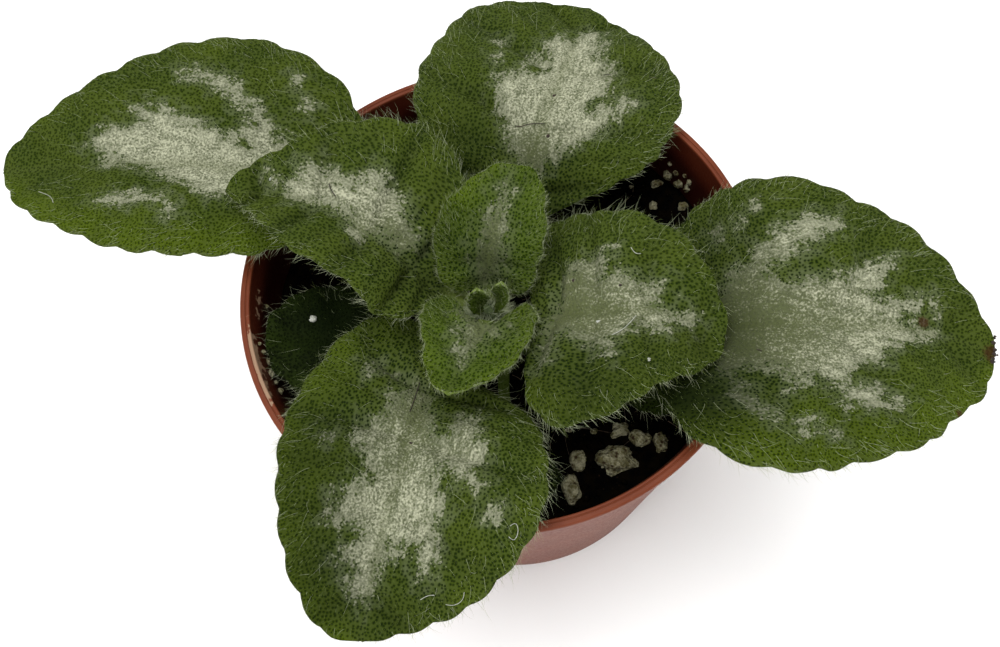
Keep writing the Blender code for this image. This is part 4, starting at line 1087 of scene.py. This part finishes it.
class Shader:
    """A material's node tree, with short calls for the nodes it needs."""

    def __init__(self, name, roughness, specular):
        self.material = bpy.data.materials.new(name)
        self.material.use_nodes = True
        self.tree = self.material.node_tree
        self.surface = self.tree.nodes["Principled BSDF"]
        self.surface.inputs["Roughness"].default_value = roughness
        self.surface.inputs["Specular IOR Level"].default_value = specular

    def put(self, socket, value):
        """Links an output to the socket, or sets the socket to a value or a colour."""
        if isinstance(value, bpy.types.NodeSocket):
            self.tree.links.new(value, socket)
        elif socket.type == "RGBA":
            socket.default_value = (*value, 1.0)
        else:
            socket.default_value = value

    def add(self, kind, inputs, **settings):
        """A new node's outputs, once its settings are made and its inputs filled."""
        node = self.tree.nodes.new("ShaderNode" + kind)
        for key, value in settings.items():
            setattr(node, key, value)
        for key, value in inputs.items():
            self.put(node.inputs[key], value)
        return node.outputs

    def attribute(self, name):
        """The three values that a mesh carries under this name."""
        vector = self.add("Attribute", {}, attribute_name=name)["Vector"]
        return self.add("SeparateXYZ", {"Vector": vector})

    def object_place(self):
        """The point on the object, in millimetres."""
        place = self.add("TexCoord", {})["Object"]
        return self.add("VectorMath", {0: place, "Scale": 1.0 / MM}, operation="SCALE")["Vector"]

    def noise(self, vector, size, detail=2.0):
        """Noise with features about "size" long in the vector's own units."""
        return self.add("TexNoise", {"Vector": vector, "Scale": 1.0 / size, "Detail": detail})["Fac"]

    def cells(self, vector, size, randomness, dimensions="2D"):
        """Distance to the nearest scattered point, in cells, and a random value for each cell."""
        inputs = {"Vector": vector, "Scale": 1.0 / size, "Randomness": randomness}
        outputs = self.add("TexVoronoi", inputs, voronoi_dimensions=dimensions)
        return outputs["Distance"], self.add("SeparateXYZ", {"Vector": outputs["Color"]})["X"]

    def ramp(self, value, low, high, start=0.0, end=1.0):
        """Smooth step of a value from "start" at "low" to "end" at "high"."""
        inputs = {"Value": value, "From Min": low, "From Max": high, "To Min": start, "To Max": end}
        return self.add("MapRange", inputs, interpolation_type="SMOOTHSTEP")["Result"]

    def math(self, operation, first, second):
        return self.add("Math", {0: first, 1: second}, operation=operation)["Value"]

    def plus(self, first, second):
        return self.math("ADD", first, second)

    def times(self, first, second):
        return self.math("MULTIPLY", first, second)

    def shift(self, value, noise, amount):
        """The value moved up or down by noise that is centred on a half."""
        return self.plus(value, self.times(self.math("SUBTRACT", noise, 0.5), amount))

    def mix(self, share, first, second):
        """A blend of two colours, from the first at share 0 to the second at 1."""
        inputs = {"Factor": share, MIX_FIRST: first, MIX_SECOND: second}
        return self.add("Mix", inputs, data_type="RGBA")[MIX_RESULT]

    def finish(self, color, height=None, depth=0.05):
        """Fills in the base colour and a relief "depth" millimetres deep, and gives the material."""
        self.put(self.surface.inputs["Base Color"], color)
        if height is not None:
            normal = self.add("Bump", {"Height": height, "Distance": depth * MM})["Normal"]
            self.put(self.surface.inputs["Normal"], normal)
        return self.material


class LeafShader(Shader):
    """Velvety leaf: dark pits in a green net, ragged silver marks, paler ribs, stalk and underside."""

    def __init__(self, name, greens, silver_share):
        super().__init__(name, roughness=0.75, specular=0.03)
        self.greens = greens
        self.dark = greens[0]
        self.rib_green = greens[4]
        self.silver_share = silver_share
        self.place = self.add("Attribute", {}, attribute_name="leaf_place")["Vector"]
        self.reach, self.edge, self.rib = self.attribute("leaf_marks_and_edge_light")
        self.stalk, self.under, self.groove_shade = self.attribute("leaf_part")
        self.fresh, self.warmth, self.brown = self.attribute("leaf_tone")
        # How much painted shade each point takes on
        self.deep = self.attribute("leaf_painted_shade")[0]
        self.pits = self.cells(self.place, PIT_SPACING, randomness=0.85)[0]
        self.grain = self.noise(self.place, GRAIN_SIZE)
        self.patches = self.noise(self.place, PATCH_SIZE, detail=3.0)
        self.blotches = self.noise(self.place, BLOTCH_SIZE, detail=5.0)
        self.relief = self.ramp(self.shift(self.fresh, self.patches, 1.0), 0.1, 1.1, 1.1, 0.75)
        pit_depth = self.ramp(self.shift(self.pits, self.grain, 0.3), 0.14, 0.36, 1.0, 0.0)
        self.pit_depth = self.times(pit_depth, self.relief)

    def green(self):
        """The blade's green between the pits, with its margin, veins, rib and pale net, painted light on the
        margin and painted shade in the veins' grooves and towards the base.
        """
        _, middle, light, warm, rib_green, _, _ = self.greens
        color = self.mix(self.ramp(self.patches, 0.35, 0.65), middle, light)
        # Painted light: the margin glows yellow-green as if lit through
        color = self.mix(self.ramp(self.shift(self.warmth, self.patches, 0.8), 0.1, 0.9), color, warm)
        # Painted light: the rounded margin is lifted to a paler green against the shade of its edge
        color = self.mix(self.ramp(self.edge, 0.955, 0.995, 0.0, 0.5), color, rib_green)
        # Painted shade: darker along the grooves of the side veins
        color = self.mix(self.times(self.groove_shade, 0.5), color, self.dark)
        color = self.mix(self.times(self.rib, 0.4), color, rib_green)
        # Painted shade: the blade darkens towards its base, which dips towards the crown
        color = self.mix(self.ramp(self.fresh, 0.0, 0.4, 0.1, 0.0), color, self.dark)
        net = self.times(self.ramp(self.pits, 0.34, 0.58, 0.0, 0.65), self.relief)
        return self.mix(net, color, rib_green)

    def silvered(self, color):
        """The colour with the silver marks over it, ragged at the edge and duller where they fade."""
        granule = self.cells(self.place, GRANULE_SIZE, randomness=1.0)[1]
        stretched = self.add("VectorMath", {0: self.place, 1: STREAK_STRETCH}, operation="MULTIPLY")["Vector"]
        streaks = self.noise(stretched, STREAK_SIZE, detail=4.0)
        near_edge = self.shift(self.reach, self.blotches, 3.0)
        ragged = self.shift(self.shift(near_edge, streaks, 4.0), granule, 1.3)
        share = self.ramp(self.shift(ragged, self.grain, 1.5), -0.1, 0.25, 0.0, self.silver_share)
        speckle = self.shift(self.noise(self.place, SPECKLE_SIZE, detail=3.0), granule, 0.26)
        ripe = self.shift(self.fresh, self.blotches, 0.5)
        speckle = self.plus(self.shift(speckle, streaks, 0.6), self.ramp(ripe, 0.0, 1.0, -0.4, 0.0))
        shade = self.mix(ripe, SILVER_OLIVE, SILVER_DARK)
        silver = self.mix(self.ramp(speckle, 0.2, 0.76), shade, SILVER_LIGHT)
        silver = self.mix(self.ramp(near_edge, 0.2, 1.6, 0.55, 0.0), silver, SILVER_DARK)
        silver = self.mix(self.times(self.pit_depth, 0.4), silver, SILVER_DARK)
        silver = self.mix(self.times(self.rib, 0.3), silver, SILVER_OLIVE)
        return self.mix(share, color, silver)

    def build(self):
        """The finished material."""
        stalk_green, under_green = self.greens[5:]
        haze = self.ramp(self.shift(self.reach, self.blotches, 8.0), -2.3, 0.6, 0.0, 0.8 * self.silver_share)
        color = self.mix(self.pit_depth, self.mix(haze, self.green(), SILVER_HAZE), self.dark)
        # Painted shade: the leaf is darkened to deep green at its listed places
        color = self.mix(self.deep, self.silvered(color), PAINTED_SHADE_GREEN)
        spots = self.ramp(self.shift(self.brown, self.grain, 0.8), 0.35, 0.8, 0.0, 0.85)
        color = self.mix(self.stalk, self.mix(spots, color, BLEMISH_BROWN), stalk_green)
        beneath = self.mix(self.ramp(self.patches, 0.3, 0.7), under_green, stalk_green)
        height = self.plus(self.ramp(self.pits, 0.0, 0.45), self.times(self.grain, 0.8))
        return self.finish(self.mix(self.under, color, beneath), height, depth=0.09)


def hair_material():
    """Green hairs, paler towards the tip and palest where the attribute says."""
    shader = Shader("leaf_hair", roughness=0.5, specular=0.05)
    along, pale, _ = shader.attribute("hair_tone")
    tint = shader.noise(shader.object_place(), 1.5)
    root, tip, bright = (shader.mix(tint, *pair) for pair in (HAIR_ROOT, HAIR_TIP, HAIR_PALE))
    return shader.finish(shader.mix(pale, shader.mix(along, root, tip), bright))


def pot_material():
    """Terracotta-coloured plastic, a little scuffed, with soil dried on and the inner wall darkened with dirt
    and painted shade, where the attribute says.
    """
    shader = Shader("terracotta_plastic", roughness=0.45, specular=0.1)
    place = shader.object_place()
    dirt, dust_and_shade, _ = shader.attribute("pot_dirt_and_shade")
    fine = shader.noise(place, 0.35, detail=3.0)
    color = shader.mix(shader.ramp(shader.noise(place, 6.0, detail=3.0), 0.3, 0.7), *POT_RED)
    color = shader.mix(shader.ramp(fine, 0.62, 0.75, 0.0, 0.25), color, POT_SCUFF)
    # Dirt and painted shade: the inner wall darkens downwards
    soiled_and_shaded = shader.mix(shader.ramp(dust_and_shade, 0.3, 1.0), *POT_SOILED_AND_SHADED)
    color = shader.mix(shader.ramp(dust_and_shade, 0.1, 0.16), color, soiled_and_shaded)
    crust = shader.ramp(shader.shift(dirt, shader.noise(place, 0.8, detail=4.0), 1.6), 0.45, 0.6)
    color = shader.mix(crust, color, POT_CRUST)
    shader.put(shader.surface.inputs["Roughness"], shader.ramp(fine, 0.3, 0.7, 0.38, 0.52))
    return shader.finish(color, shader.plus(fine, crust), depth=0.02)


def soil_material():
    """Potting mix with paler bits, nearly black: its own dark colour with painted shade added."""
    shader = Shader("potting_soil", roughness=0.95, specular=0.0)
    place = shader.object_place()
    lumps = shader.noise(place, 1.2, detail=6.0)
    color = shader.mix(shader.ramp(lumps, 0.35, 0.7), *SOIL_DARK_AND_SHADED)
    bits = shader.ramp(shader.noise(place, 0.4, detail=2.0), 0.68, 0.74)
    return shader.finish(shader.mix(bits, color, SOIL_BIT), lumps, depth=0.3)


def perlite_material():
    """Stained grains with dark pores."""
    shader = Shader("perlite", roughness=0.85, specular=0.1)
    place = shader.object_place()
    pores = shader.cells(place, 0.75, randomness=1.0, dimensions="3D")[0]
    stain = shader.noise(place, 1.4, detail=4.0)
    rough = shader.noise(place, 0.3, detail=5.0)
    color = shader.mix(shader.ramp(shader.shift(stain, rough, 0.8), 0.3, 0.7), *PERLITE_PALE)
    color = shader.mix(shader.ramp(shader.shift(pores, stain, 0.6), 0.1, 0.4), PERLITE_PORE, color)
    return shader.finish(color, shader.shift(pores, rough, 2.0), depth=0.3)


def crumb_material(name, colors):
    """Two colours in small patches."""
    shader = Shader(name, roughness=0.9, specular=0.5)
    tone = shader.noise(shader.object_place(), 0.5, detail=3.0)
    return shader.finish(shader.mix(shader.ramp(tone, 0.35, 0.65), *colors), tone, depth=0.1)


def floor_material():
    shader = Shader("pale_floor", roughness=0.7, specular=0.2)
    cloud = shader.noise(shader.object_place(), 40.0, detail=3.0)
    return shader.finish(shader.mix(cloud, *FLOOR_PALE))


def lathe(profile, sides):
    """Rings of points round the upright axis, one for each (radius, height)."""
    turn = np.arange(sides) * 2.0 * math.pi / sides
    return np.stack([np.stack([radius * np.cos(turn), radius * np.sin(turn), np.full(sides, height)], axis=-1)
                     for radius, height in profile])


def lathe_faces(rings, sides):
    """Faces of a body made of rings of points, with an end face at its first and last ring."""
    number = np.arange(rings * sides).reshape(rings, sides)
    after = np.roll(number, -1, axis=1)
    walls = np.stack([number[:-1], after[:-1], after[1:], number[1:]], axis=-1).reshape(-1, 4).tolist()
    return walls + [number[0][::-1].tolist(), number[-1].tolist()]


def turned_mesh(name, points):
    """A closed mesh of rings of points."""
    return mesh_from_arrays(name, points.reshape(-1, 3), lathe_faces(*points.shape[:2]))


def body_radius(height):
    """Outer radius of the pot's tapered body."""
    top = RIM_RADIUS - BAND_STEP
    return FOOT_RADIUS + (top - FOOT_RADIUS) * height / (RIM_HEIGHT - BAND_HEIGHT)


def rounded(center, radius, start, end, steps=5):
    """Points on an arc of an outline, between two angles in degrees."""
    turns = np.radians(np.linspace(start, end, steps))
    return [(center[0] + radius * math.cos(turn), center[1] + radius * math.sin(turn)) for turn in turns]


def pot_profile():
    """Outline from the middle of the underside, up the outside, over the lip and down inside."""
    band_foot = RIM_HEIGHT - BAND_HEIGHT
    lip_inner = RIM_RADIUS - LIP_WIDTH
    inner_foot = body_radius(FLOOR) - WALL
    middle = (DRAIN_RING_RADIUS - DRAIN_RADIUS) / 2.0
    profile = [(middle, 0.0)]
    profile += rounded((FOOT_RADIUS - FOOT_ROUND, FOOT_ROUND), FOOT_ROUND, -90.0, 0.0)
    profile += [(body_radius(z), z) for z in np.linspace(2.0, band_foot, 18)]
    profile += rounded((RIM_RADIUS - RIM_DRAFT - BAND_ROUND, band_foot + BAND_ROUND), BAND_ROUND, -90.0, 0.0)
    profile += [(RIM_RADIUS - RIM_DRAFT / 2.0, RIM_HEIGHT - BAND_HEIGHT / 2.0)]
    profile += rounded((RIM_RADIUS - RIM_ROUND, RIM_HEIGHT - RIM_ROUND), RIM_ROUND, 0.0, 90.0)
    profile += rounded((RIM_RADIUS - GROOVE_INSET, RIM_HEIGHT), GROOVE_HALF_WIDTH, 0.0, -180.0)
    profile += rounded((lip_inner + LIP_ROUND, RIM_HEIGHT - LIP_ROUND), LIP_ROUND, 90.0, 180.0)
    profile += [(body_radius(z) - WALL, z) for z in np.linspace(band_foot, FLOOR + FOOT_ROUND, 32)]
    profile += rounded((inner_foot - FOOT_ROUND, FLOOR + FOOT_ROUND), FOOT_ROUND, 0.0, -90.0)
    return profile + [(middle, FLOOR)]


def cut_drains(pot):
    """Round holes through the pot's floor."""
    bm = bmesh.new()
    for i in range(DRAIN_COUNT):
        angle = 2.0 * math.pi * (i + 0.5) / DRAIN_COUNT
        place = Matrix.Translation((DRAIN_RING_RADIUS * MM * math.cos(angle),
                                    DRAIN_RING_RADIUS * MM * math.sin(angle), FLOOR * MM / 2.0))
        bmesh.ops.create_cone(bm, cap_ends=True, segments=48, radius1=DRAIN_RADIUS * MM,
                              radius2=DRAIN_RADIUS * MM, depth=4.0 * FLOOR * MM, matrix=place)
    cutter = add_object("drain_cutter", mesh_from_bmesh("drain_cutter", bm))
    drains = pot.modifiers.new("drains", "BOOLEAN")
    drains.operation = "DIFFERENCE"
    drains.solver = "EXACT"
    drains.object = cutter
    cut = bpy.data.meshes.new_from_object(pot.evaluated_get(bpy.context.evaluated_depsgraph_get()))
    pot.modifiers.clear()
    pot.data = cut
    bpy.data.objects.remove(cutter, do_unlink=True)


def make_pot():
    """The cup, where soil has dried on it, and how far its inner wall is darkened with dirt and painted
    shade.
    """
    pot = add_piece("pot_cup", turned_mesh("pot_cup", lathe(pot_profile(), POT_SIDES)), MATERIALS["pot"],
                    "pot_plastic", "pot")
    cut_drains(pot)
    x, y, z = np.array([vert.co for vert in pot.data.vertices]).T / MM
    angle = np.degrees(np.arctan2(y, x))
    radius = np.hypot(x, y)
    dirt = np.zeros(len(x))
    for turn, spread, height, rise, strength in POT_CRUSTS:
        off = (angle - turn + 180.0) % 360.0 - 180.0
        dirt = np.maximum(dirt, strength * bump(off, spread) * bump(z - height, rise) * (radius < 31.3))
    inner = (radius < body_radius(z) - 0.5) & (z > FLOOR + 1.0)
    dust_and_shade = np.where(inner, np.clip((RIM_HEIGHT + DUST_AND_SHADE_START - z) / DUST_AND_SHADE_DEPTH, 0.0, 1.0), -0.3)
    add_values(pot.data, "pot_dirt_and_shade", dirt, dust_and_shade)
    pot.data.set_sharp_from_angle(angle=math.radians(40.0))


def soil_height(x, y):
    """Height of the soil's lumps above its level top."""
    return sum(height * soft_noise(x, y, size, SOIL_SEED + step)
               for step, (height, size) in enumerate(SOIL_LUMPS))


def make_soil():
    """The potting mix: a lumpy top, with plain sides and foot where the pot hides them."""
    foot = FLOOR + 0.2
    profile = [(body_radius(foot) - WALL - 0.8, foot), (SOIL_RADIUS - 0.05, SOIL_TOP - 1.0)]
    profile += [(radius, SOIL_TOP) for radius in np.linspace(SOIL_RADIUS, 0.6, SOIL_RINGS)]
    points = lathe(profile, SOIL_SIDES)
    top = points[2:]
    top[..., 2] += soil_height(top[..., 0], top[..., 1])
    add_piece("soil_mix", turned_mesh("soil_mix", points), MATERIALS["soil"], "soil", "soil")


def pebble(bm, subdivisions, center, size, rng, rough):
    """A rough round grain added to a mesh under construction."""
    made = bmesh.ops.create_icosphere(bm, subdivisions=subdivisions, radius=0.5)["verts"]
    waves = rng.normal(0.0, 1.0, (4, 3))
    phases = rng.uniform(0.0, 6.28, 4)
    turn = Matrix.Rotation(rng.uniform(0.0, 6.28), 3, rng.normal(0.0, 1.0, 3).tolist())
    for vert in made:
        co = np.array(vert.co)
        swell = 1.0
        for wave, phase in zip(waves, phases):
            bend = float(wave @ co)
            swell += rough * (math.sin(6.4 * bend + phase) / 2.0 + math.sin(19.0 * bend + 2.0 * phase) / 6.0)
        shaped = turn @ vert.co * swell
        vert.co = [(middle + part * wide) * MM for middle, part, wide in zip(center, shaped, size)]


def grains_piece(name, grains, material, slot, seed, subdivisions, rough):
    """One piece made of grains, each given as its centre and its three sizes."""
    rng = np.random.default_rng(seed)
    bm = bmesh.new()
    for center, size in grains:
        pebble(bm, subdivisions, center, size, rng, rough)
    mesh = mesh_from_bmesh(name, bm)
    mesh.shade_smooth()
    return add_piece(name, mesh, material, slot)


def on_soil(x, y, lift):
    """The point at a height above the soil's surface."""
    return np.stack([x, y, SOIL_TOP + soil_height(x, y) + lift], axis=-1)


def disc_spots(rng, radius, count=None):
    """One or more places spread evenly over a disc, as x and y."""
    out = radius * np.sqrt(rng.random(count))
    angle = rng.uniform(0.0, 2.0 * math.pi, count)
    return out * np.cos(angle), out * np.sin(angle)


def make_crumbs():
    """Loose crumbs all over the soil."""
    rng = np.random.default_rng(SOIL_SEED)
    grains = []
    for _ in range(SOIL_CRUMBS):
        x, y = disc_spots(rng, SOIL_RADIUS - 0.6)
        size = rng.uniform(0.35, 0.7) + 1.0 * rng.random() ** 5
        shape = (size, size * rng.uniform(0.6, 1.0), size * rng.uniform(0.5, 0.9))
        grains.append((on_soil(x, y, 0.15 * size), shape))
    grains_piece("soil_crumbs", grains, MATERIALS["soil"], "soil", SOIL_SEED + 5, subdivisions=1,
                 rough=0.35)


def make_fibres():
    """Thin peat fibres lying on the soil."""
    rng = np.random.default_rng(SOIL_SEED + 7)
    x, y = disc_spots(rng, SOIL_RADIUS - 3.0, SOIL_FIBRES)
    batch = strands("fibre", on_soil(x, y, 0.15), np.eye(3), rng)
    add_hairs("soil_fibres", [batch], MATERIALS["fibre"], "soil")


def make_perlite():
    """The grains that show, others spread over the soil and the flecks on the pot's wall."""
    rng = np.random.default_rng(SOIL_SEED + 9)
    grains = [(on_soil(x, y, 0.12 * height), (width, depth, height))
              for x, y, width, depth, height in PERLITE]
    for _ in range(SOIL_PERLITE):
        x, y = disc_spots(rng, SOIL_RADIUS - 1.5)
        size = rng.uniform(0.4, 1.0)
        grains.append((on_soil(x, y, 0.1), (size, size * 0.8, size * 0.7)))
    for turn, height, size in WALL_FLECKS:
        radius = body_radius(height) - WALL - 0.1
        angle = math.radians(turn)
        grains.append(((radius * math.cos(angle), radius * math.sin(angle), height), (size, size, size)))
    grains_piece("perlite_grains", grains, MATERIALS["perlite"], "soil", SOIL_SEED + 10, subdivisions=3,
                 rough=0.22)


def make_crown():
    """The hairy stem top, down into the soil."""
    radius, height, lean = np.array(CROWN_PROFILE).T
    heights = np.linspace(CROWN_BOTTOM, CROWN_TOP, CROWN_RINGS)
    away = lathe(zip(np.interp(heights, height, radius), heights + RIM_HEIGHT), CROWN_SIDES)
    centers = np.stack([np.full(CROWN_RINGS, CROWN_X), CROWN_Y - np.interp(heights, height, lean)], axis=-1)
    turn = np.arctan2(away[..., 1], away[..., 0])
    level = away[..., 2]
    swell = 1.0 + 0.05 * soft_noise(4.0 * turn, level, 1.4, 3) + 0.03 * np.sin(5.0 * turn + level)
    points = away.copy()
    points[..., :2] = centers[:, None] + away[..., :2] * swell[..., None]
    add_piece("crown_stem", turned_mesh("crown_stem", points), MATERIALS["crown"], "crown", "crown")
    rng = np.random.default_rng(HAIR_SEED + 50)
    row = rng.integers(CROWN_BARE_RINGS, CROWN_RINGS, CROWN_HAIRS)
    column = rng.integers(0, CROWN_SIDES, CROWN_HAIRS)
    outward = unit(away[row, column] * np.array([1.0, 1.0, 0.0]))
    hairs = strands("crown", points[row, column], (outward, *np.eye(3)[1:]), rng)
    add_hairs("crown_hairs", [hairs], MATERIALS["hair"], "crown")


def on_leaf(name, at, out):
    """The spot on a leaf's upper side nearest to a distance along and out from its spine."""
    grid = GRIDS[name]
    off = np.hypot(grid["at"] - at, grid["out"] - out)
    return grid["top"][np.unravel_index(off.argmin(), off.shape)]


def thread(path, radius):
    """A thin round thread along a path, as points and faces."""
    path = smooth_curve(path, THREAD_STEPS) if len(path) > 2 else np.linspace(path[0], path[-1], 4)
    heading = unit(np.gradient(path, axis=0))
    aside = unit(np.cross(heading, np.array([0.1, 0.2, 1.0])))
    over = np.cross(aside, heading)
    turns = (2.0 * math.pi * np.arange(THREAD_SIDES) / THREAD_SIDES)[:, None]
    points = path[:, None] + radius * (np.cos(turns) * aside[:, None] + np.sin(turns) * over[:, None])
    return points.reshape(-1, 3), lathe_faces(len(path), THREAD_SIDES)


def make_debris(color, slot):
    """Threads and specks of one colour lying on the leaves."""
    points = []
    faces = []
    for leaf, kind, radius, path in THREADS:
        if kind == color:
            spots = [on_leaf(leaf, at, out) + np.array([0.0, 0.0, 2.0 * radius]) for at, out in path]
            some_points, some_faces = thread(spots, radius)
            faces += [[number + len(points) for number in face] for face in some_faces]
            points += some_points.tolist()
    name = color + "_threads"
    add_piece(name, mesh_from_arrays(name, points, faces), MATERIALS[color], slot)
    grains = []
    rng = np.random.default_rng(SOIL_SEED + 19)
    for leaf, kind, size, places in SPECKS:
        for at, out in places if kind == color else []:
            for part in (1.0, 0.6, 0.5):
                stray = (1.0 - part) * size * rng.uniform(-1.2, 1.2, 3) * (1.0, 1.0, 0.3)
                shape = (size * part, size * part * 0.8, size * part * 0.6)
                grains.append((on_leaf(leaf, at, out) + stray, shape))
    grains_piece(color + "_specks", grains, MATERIALS[color], slot, SOIL_SEED + 20, subdivisions=2,
                 rough=0.25)


def make_stage():
    """A pale round floor that rises far out into a low backdrop all round."""
    radii = np.linspace(0.0, DISH_RADIUS, DISH_RINGS + 1)[1:]
    rise = DISH_RISE * (np.maximum(radii - DISH_FLAT, 0.0) / (DISH_RADIUS - DISH_FLAT)) ** 2
    points = lathe(zip(radii, rise - FLOOR_GAP), DISH_SIDES)
    faces = lathe_faces(*points.shape[:2])[:-1]
    mesh = mesh_from_arrays("floor", points.reshape(-1, 3), [face[::-1] for face in faces])
    mesh.materials.append(floor_material())
    floor = add_object("floor", mesh)


def make_lights():
    """A soft white sky and the suns, each turned to shine from its azimuth and elevation."""
    scene = bpy.context.scene
    scene.view_settings.view_transform = "Standard"
    scene.world = bpy.data.worlds.new("studio")
    scene.world.use_nodes = True
    sky = scene.world.node_tree.nodes["Background"]
    sky.inputs["Color"].default_value = (1.0, 1.0, 1.0, 1.0)
    sky.inputs["Strength"].default_value = SKY_STRENGTH
    for name, azimuth, elevation, spread, strength in LIGHTS:
        light = bpy.data.lights.new(name, "SUN")
        light.energy = strength
        light.angle = math.radians(spread)
        add_object(name, light).rotation_euler = (0.0, math.radians(90.0 - elevation), math.radians(azimuth))


def make_camera():
    """The photograph's view: down from the front, and rolled a little."""
    camera = add_object("camera", bpy.data.cameras.new("camera"))
    camera.data.sensor_width = CAMERA_SENSOR
    camera.data.lens = CAMERA_LENS
    camera.data.clip_start = 0.01
    tilt = Matrix.Rotation(math.radians(90.0 - CAMERA_ELEVATION), 4, "X")
    roll = Matrix.Rotation(math.radians(CAMERA_ROLL), 4, "Z")
    rim = Matrix.Translation((0.0, 0.0, RIM_HEIGHT * MM))
    camera.matrix_world = rim @ tilt @ roll @ Matrix.Translation([part * MM for part in CAMERA_PLACE])
    bpy.context.scene.camera = camera


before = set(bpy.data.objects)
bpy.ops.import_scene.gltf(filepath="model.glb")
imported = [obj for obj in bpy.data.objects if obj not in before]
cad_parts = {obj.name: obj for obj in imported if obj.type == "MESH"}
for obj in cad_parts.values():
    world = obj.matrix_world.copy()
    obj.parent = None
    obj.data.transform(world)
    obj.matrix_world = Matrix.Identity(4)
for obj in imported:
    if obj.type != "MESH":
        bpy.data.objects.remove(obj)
CAD_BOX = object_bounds()
MATERIALS = {
    "leaf_mature": LeafShader("leaf_mature", MATURE, 0.95).build(),
    "leaf_young": LeafShader("leaf_young", YOUNG, 0.75).build(),
    # A darker copy of the leaf material, painted shade for the low leaves
    "leaf_shaded": LeafShader("leaf_shaded", SHADED, 0.5).build(),
    "hair": hair_material(),
    "pot": pot_material(),
    "soil": soil_material(),
    "perlite": perlite_material(),
    "fibre": crumb_material("peat_fibre", FIBRE_BROWN),
    "pale": crumb_material("pale_lint", LINT_PALE),
    "dark": crumb_material("dark_dirt", DIRT_DARK),
    "crown": crumb_material("crown_green", CROWN_GREEN),
}
make_pot()
make_soil()
make_crumbs()
make_fibres()
make_perlite()
make_crown()
GRIDS = {name: make_leaf(name, number) for number, name in enumerate(LEAVES)}
make_debris("pale", "leaf_mature")
make_debris("dark", "soil")
make_stage()
make_lights()
make_camera()
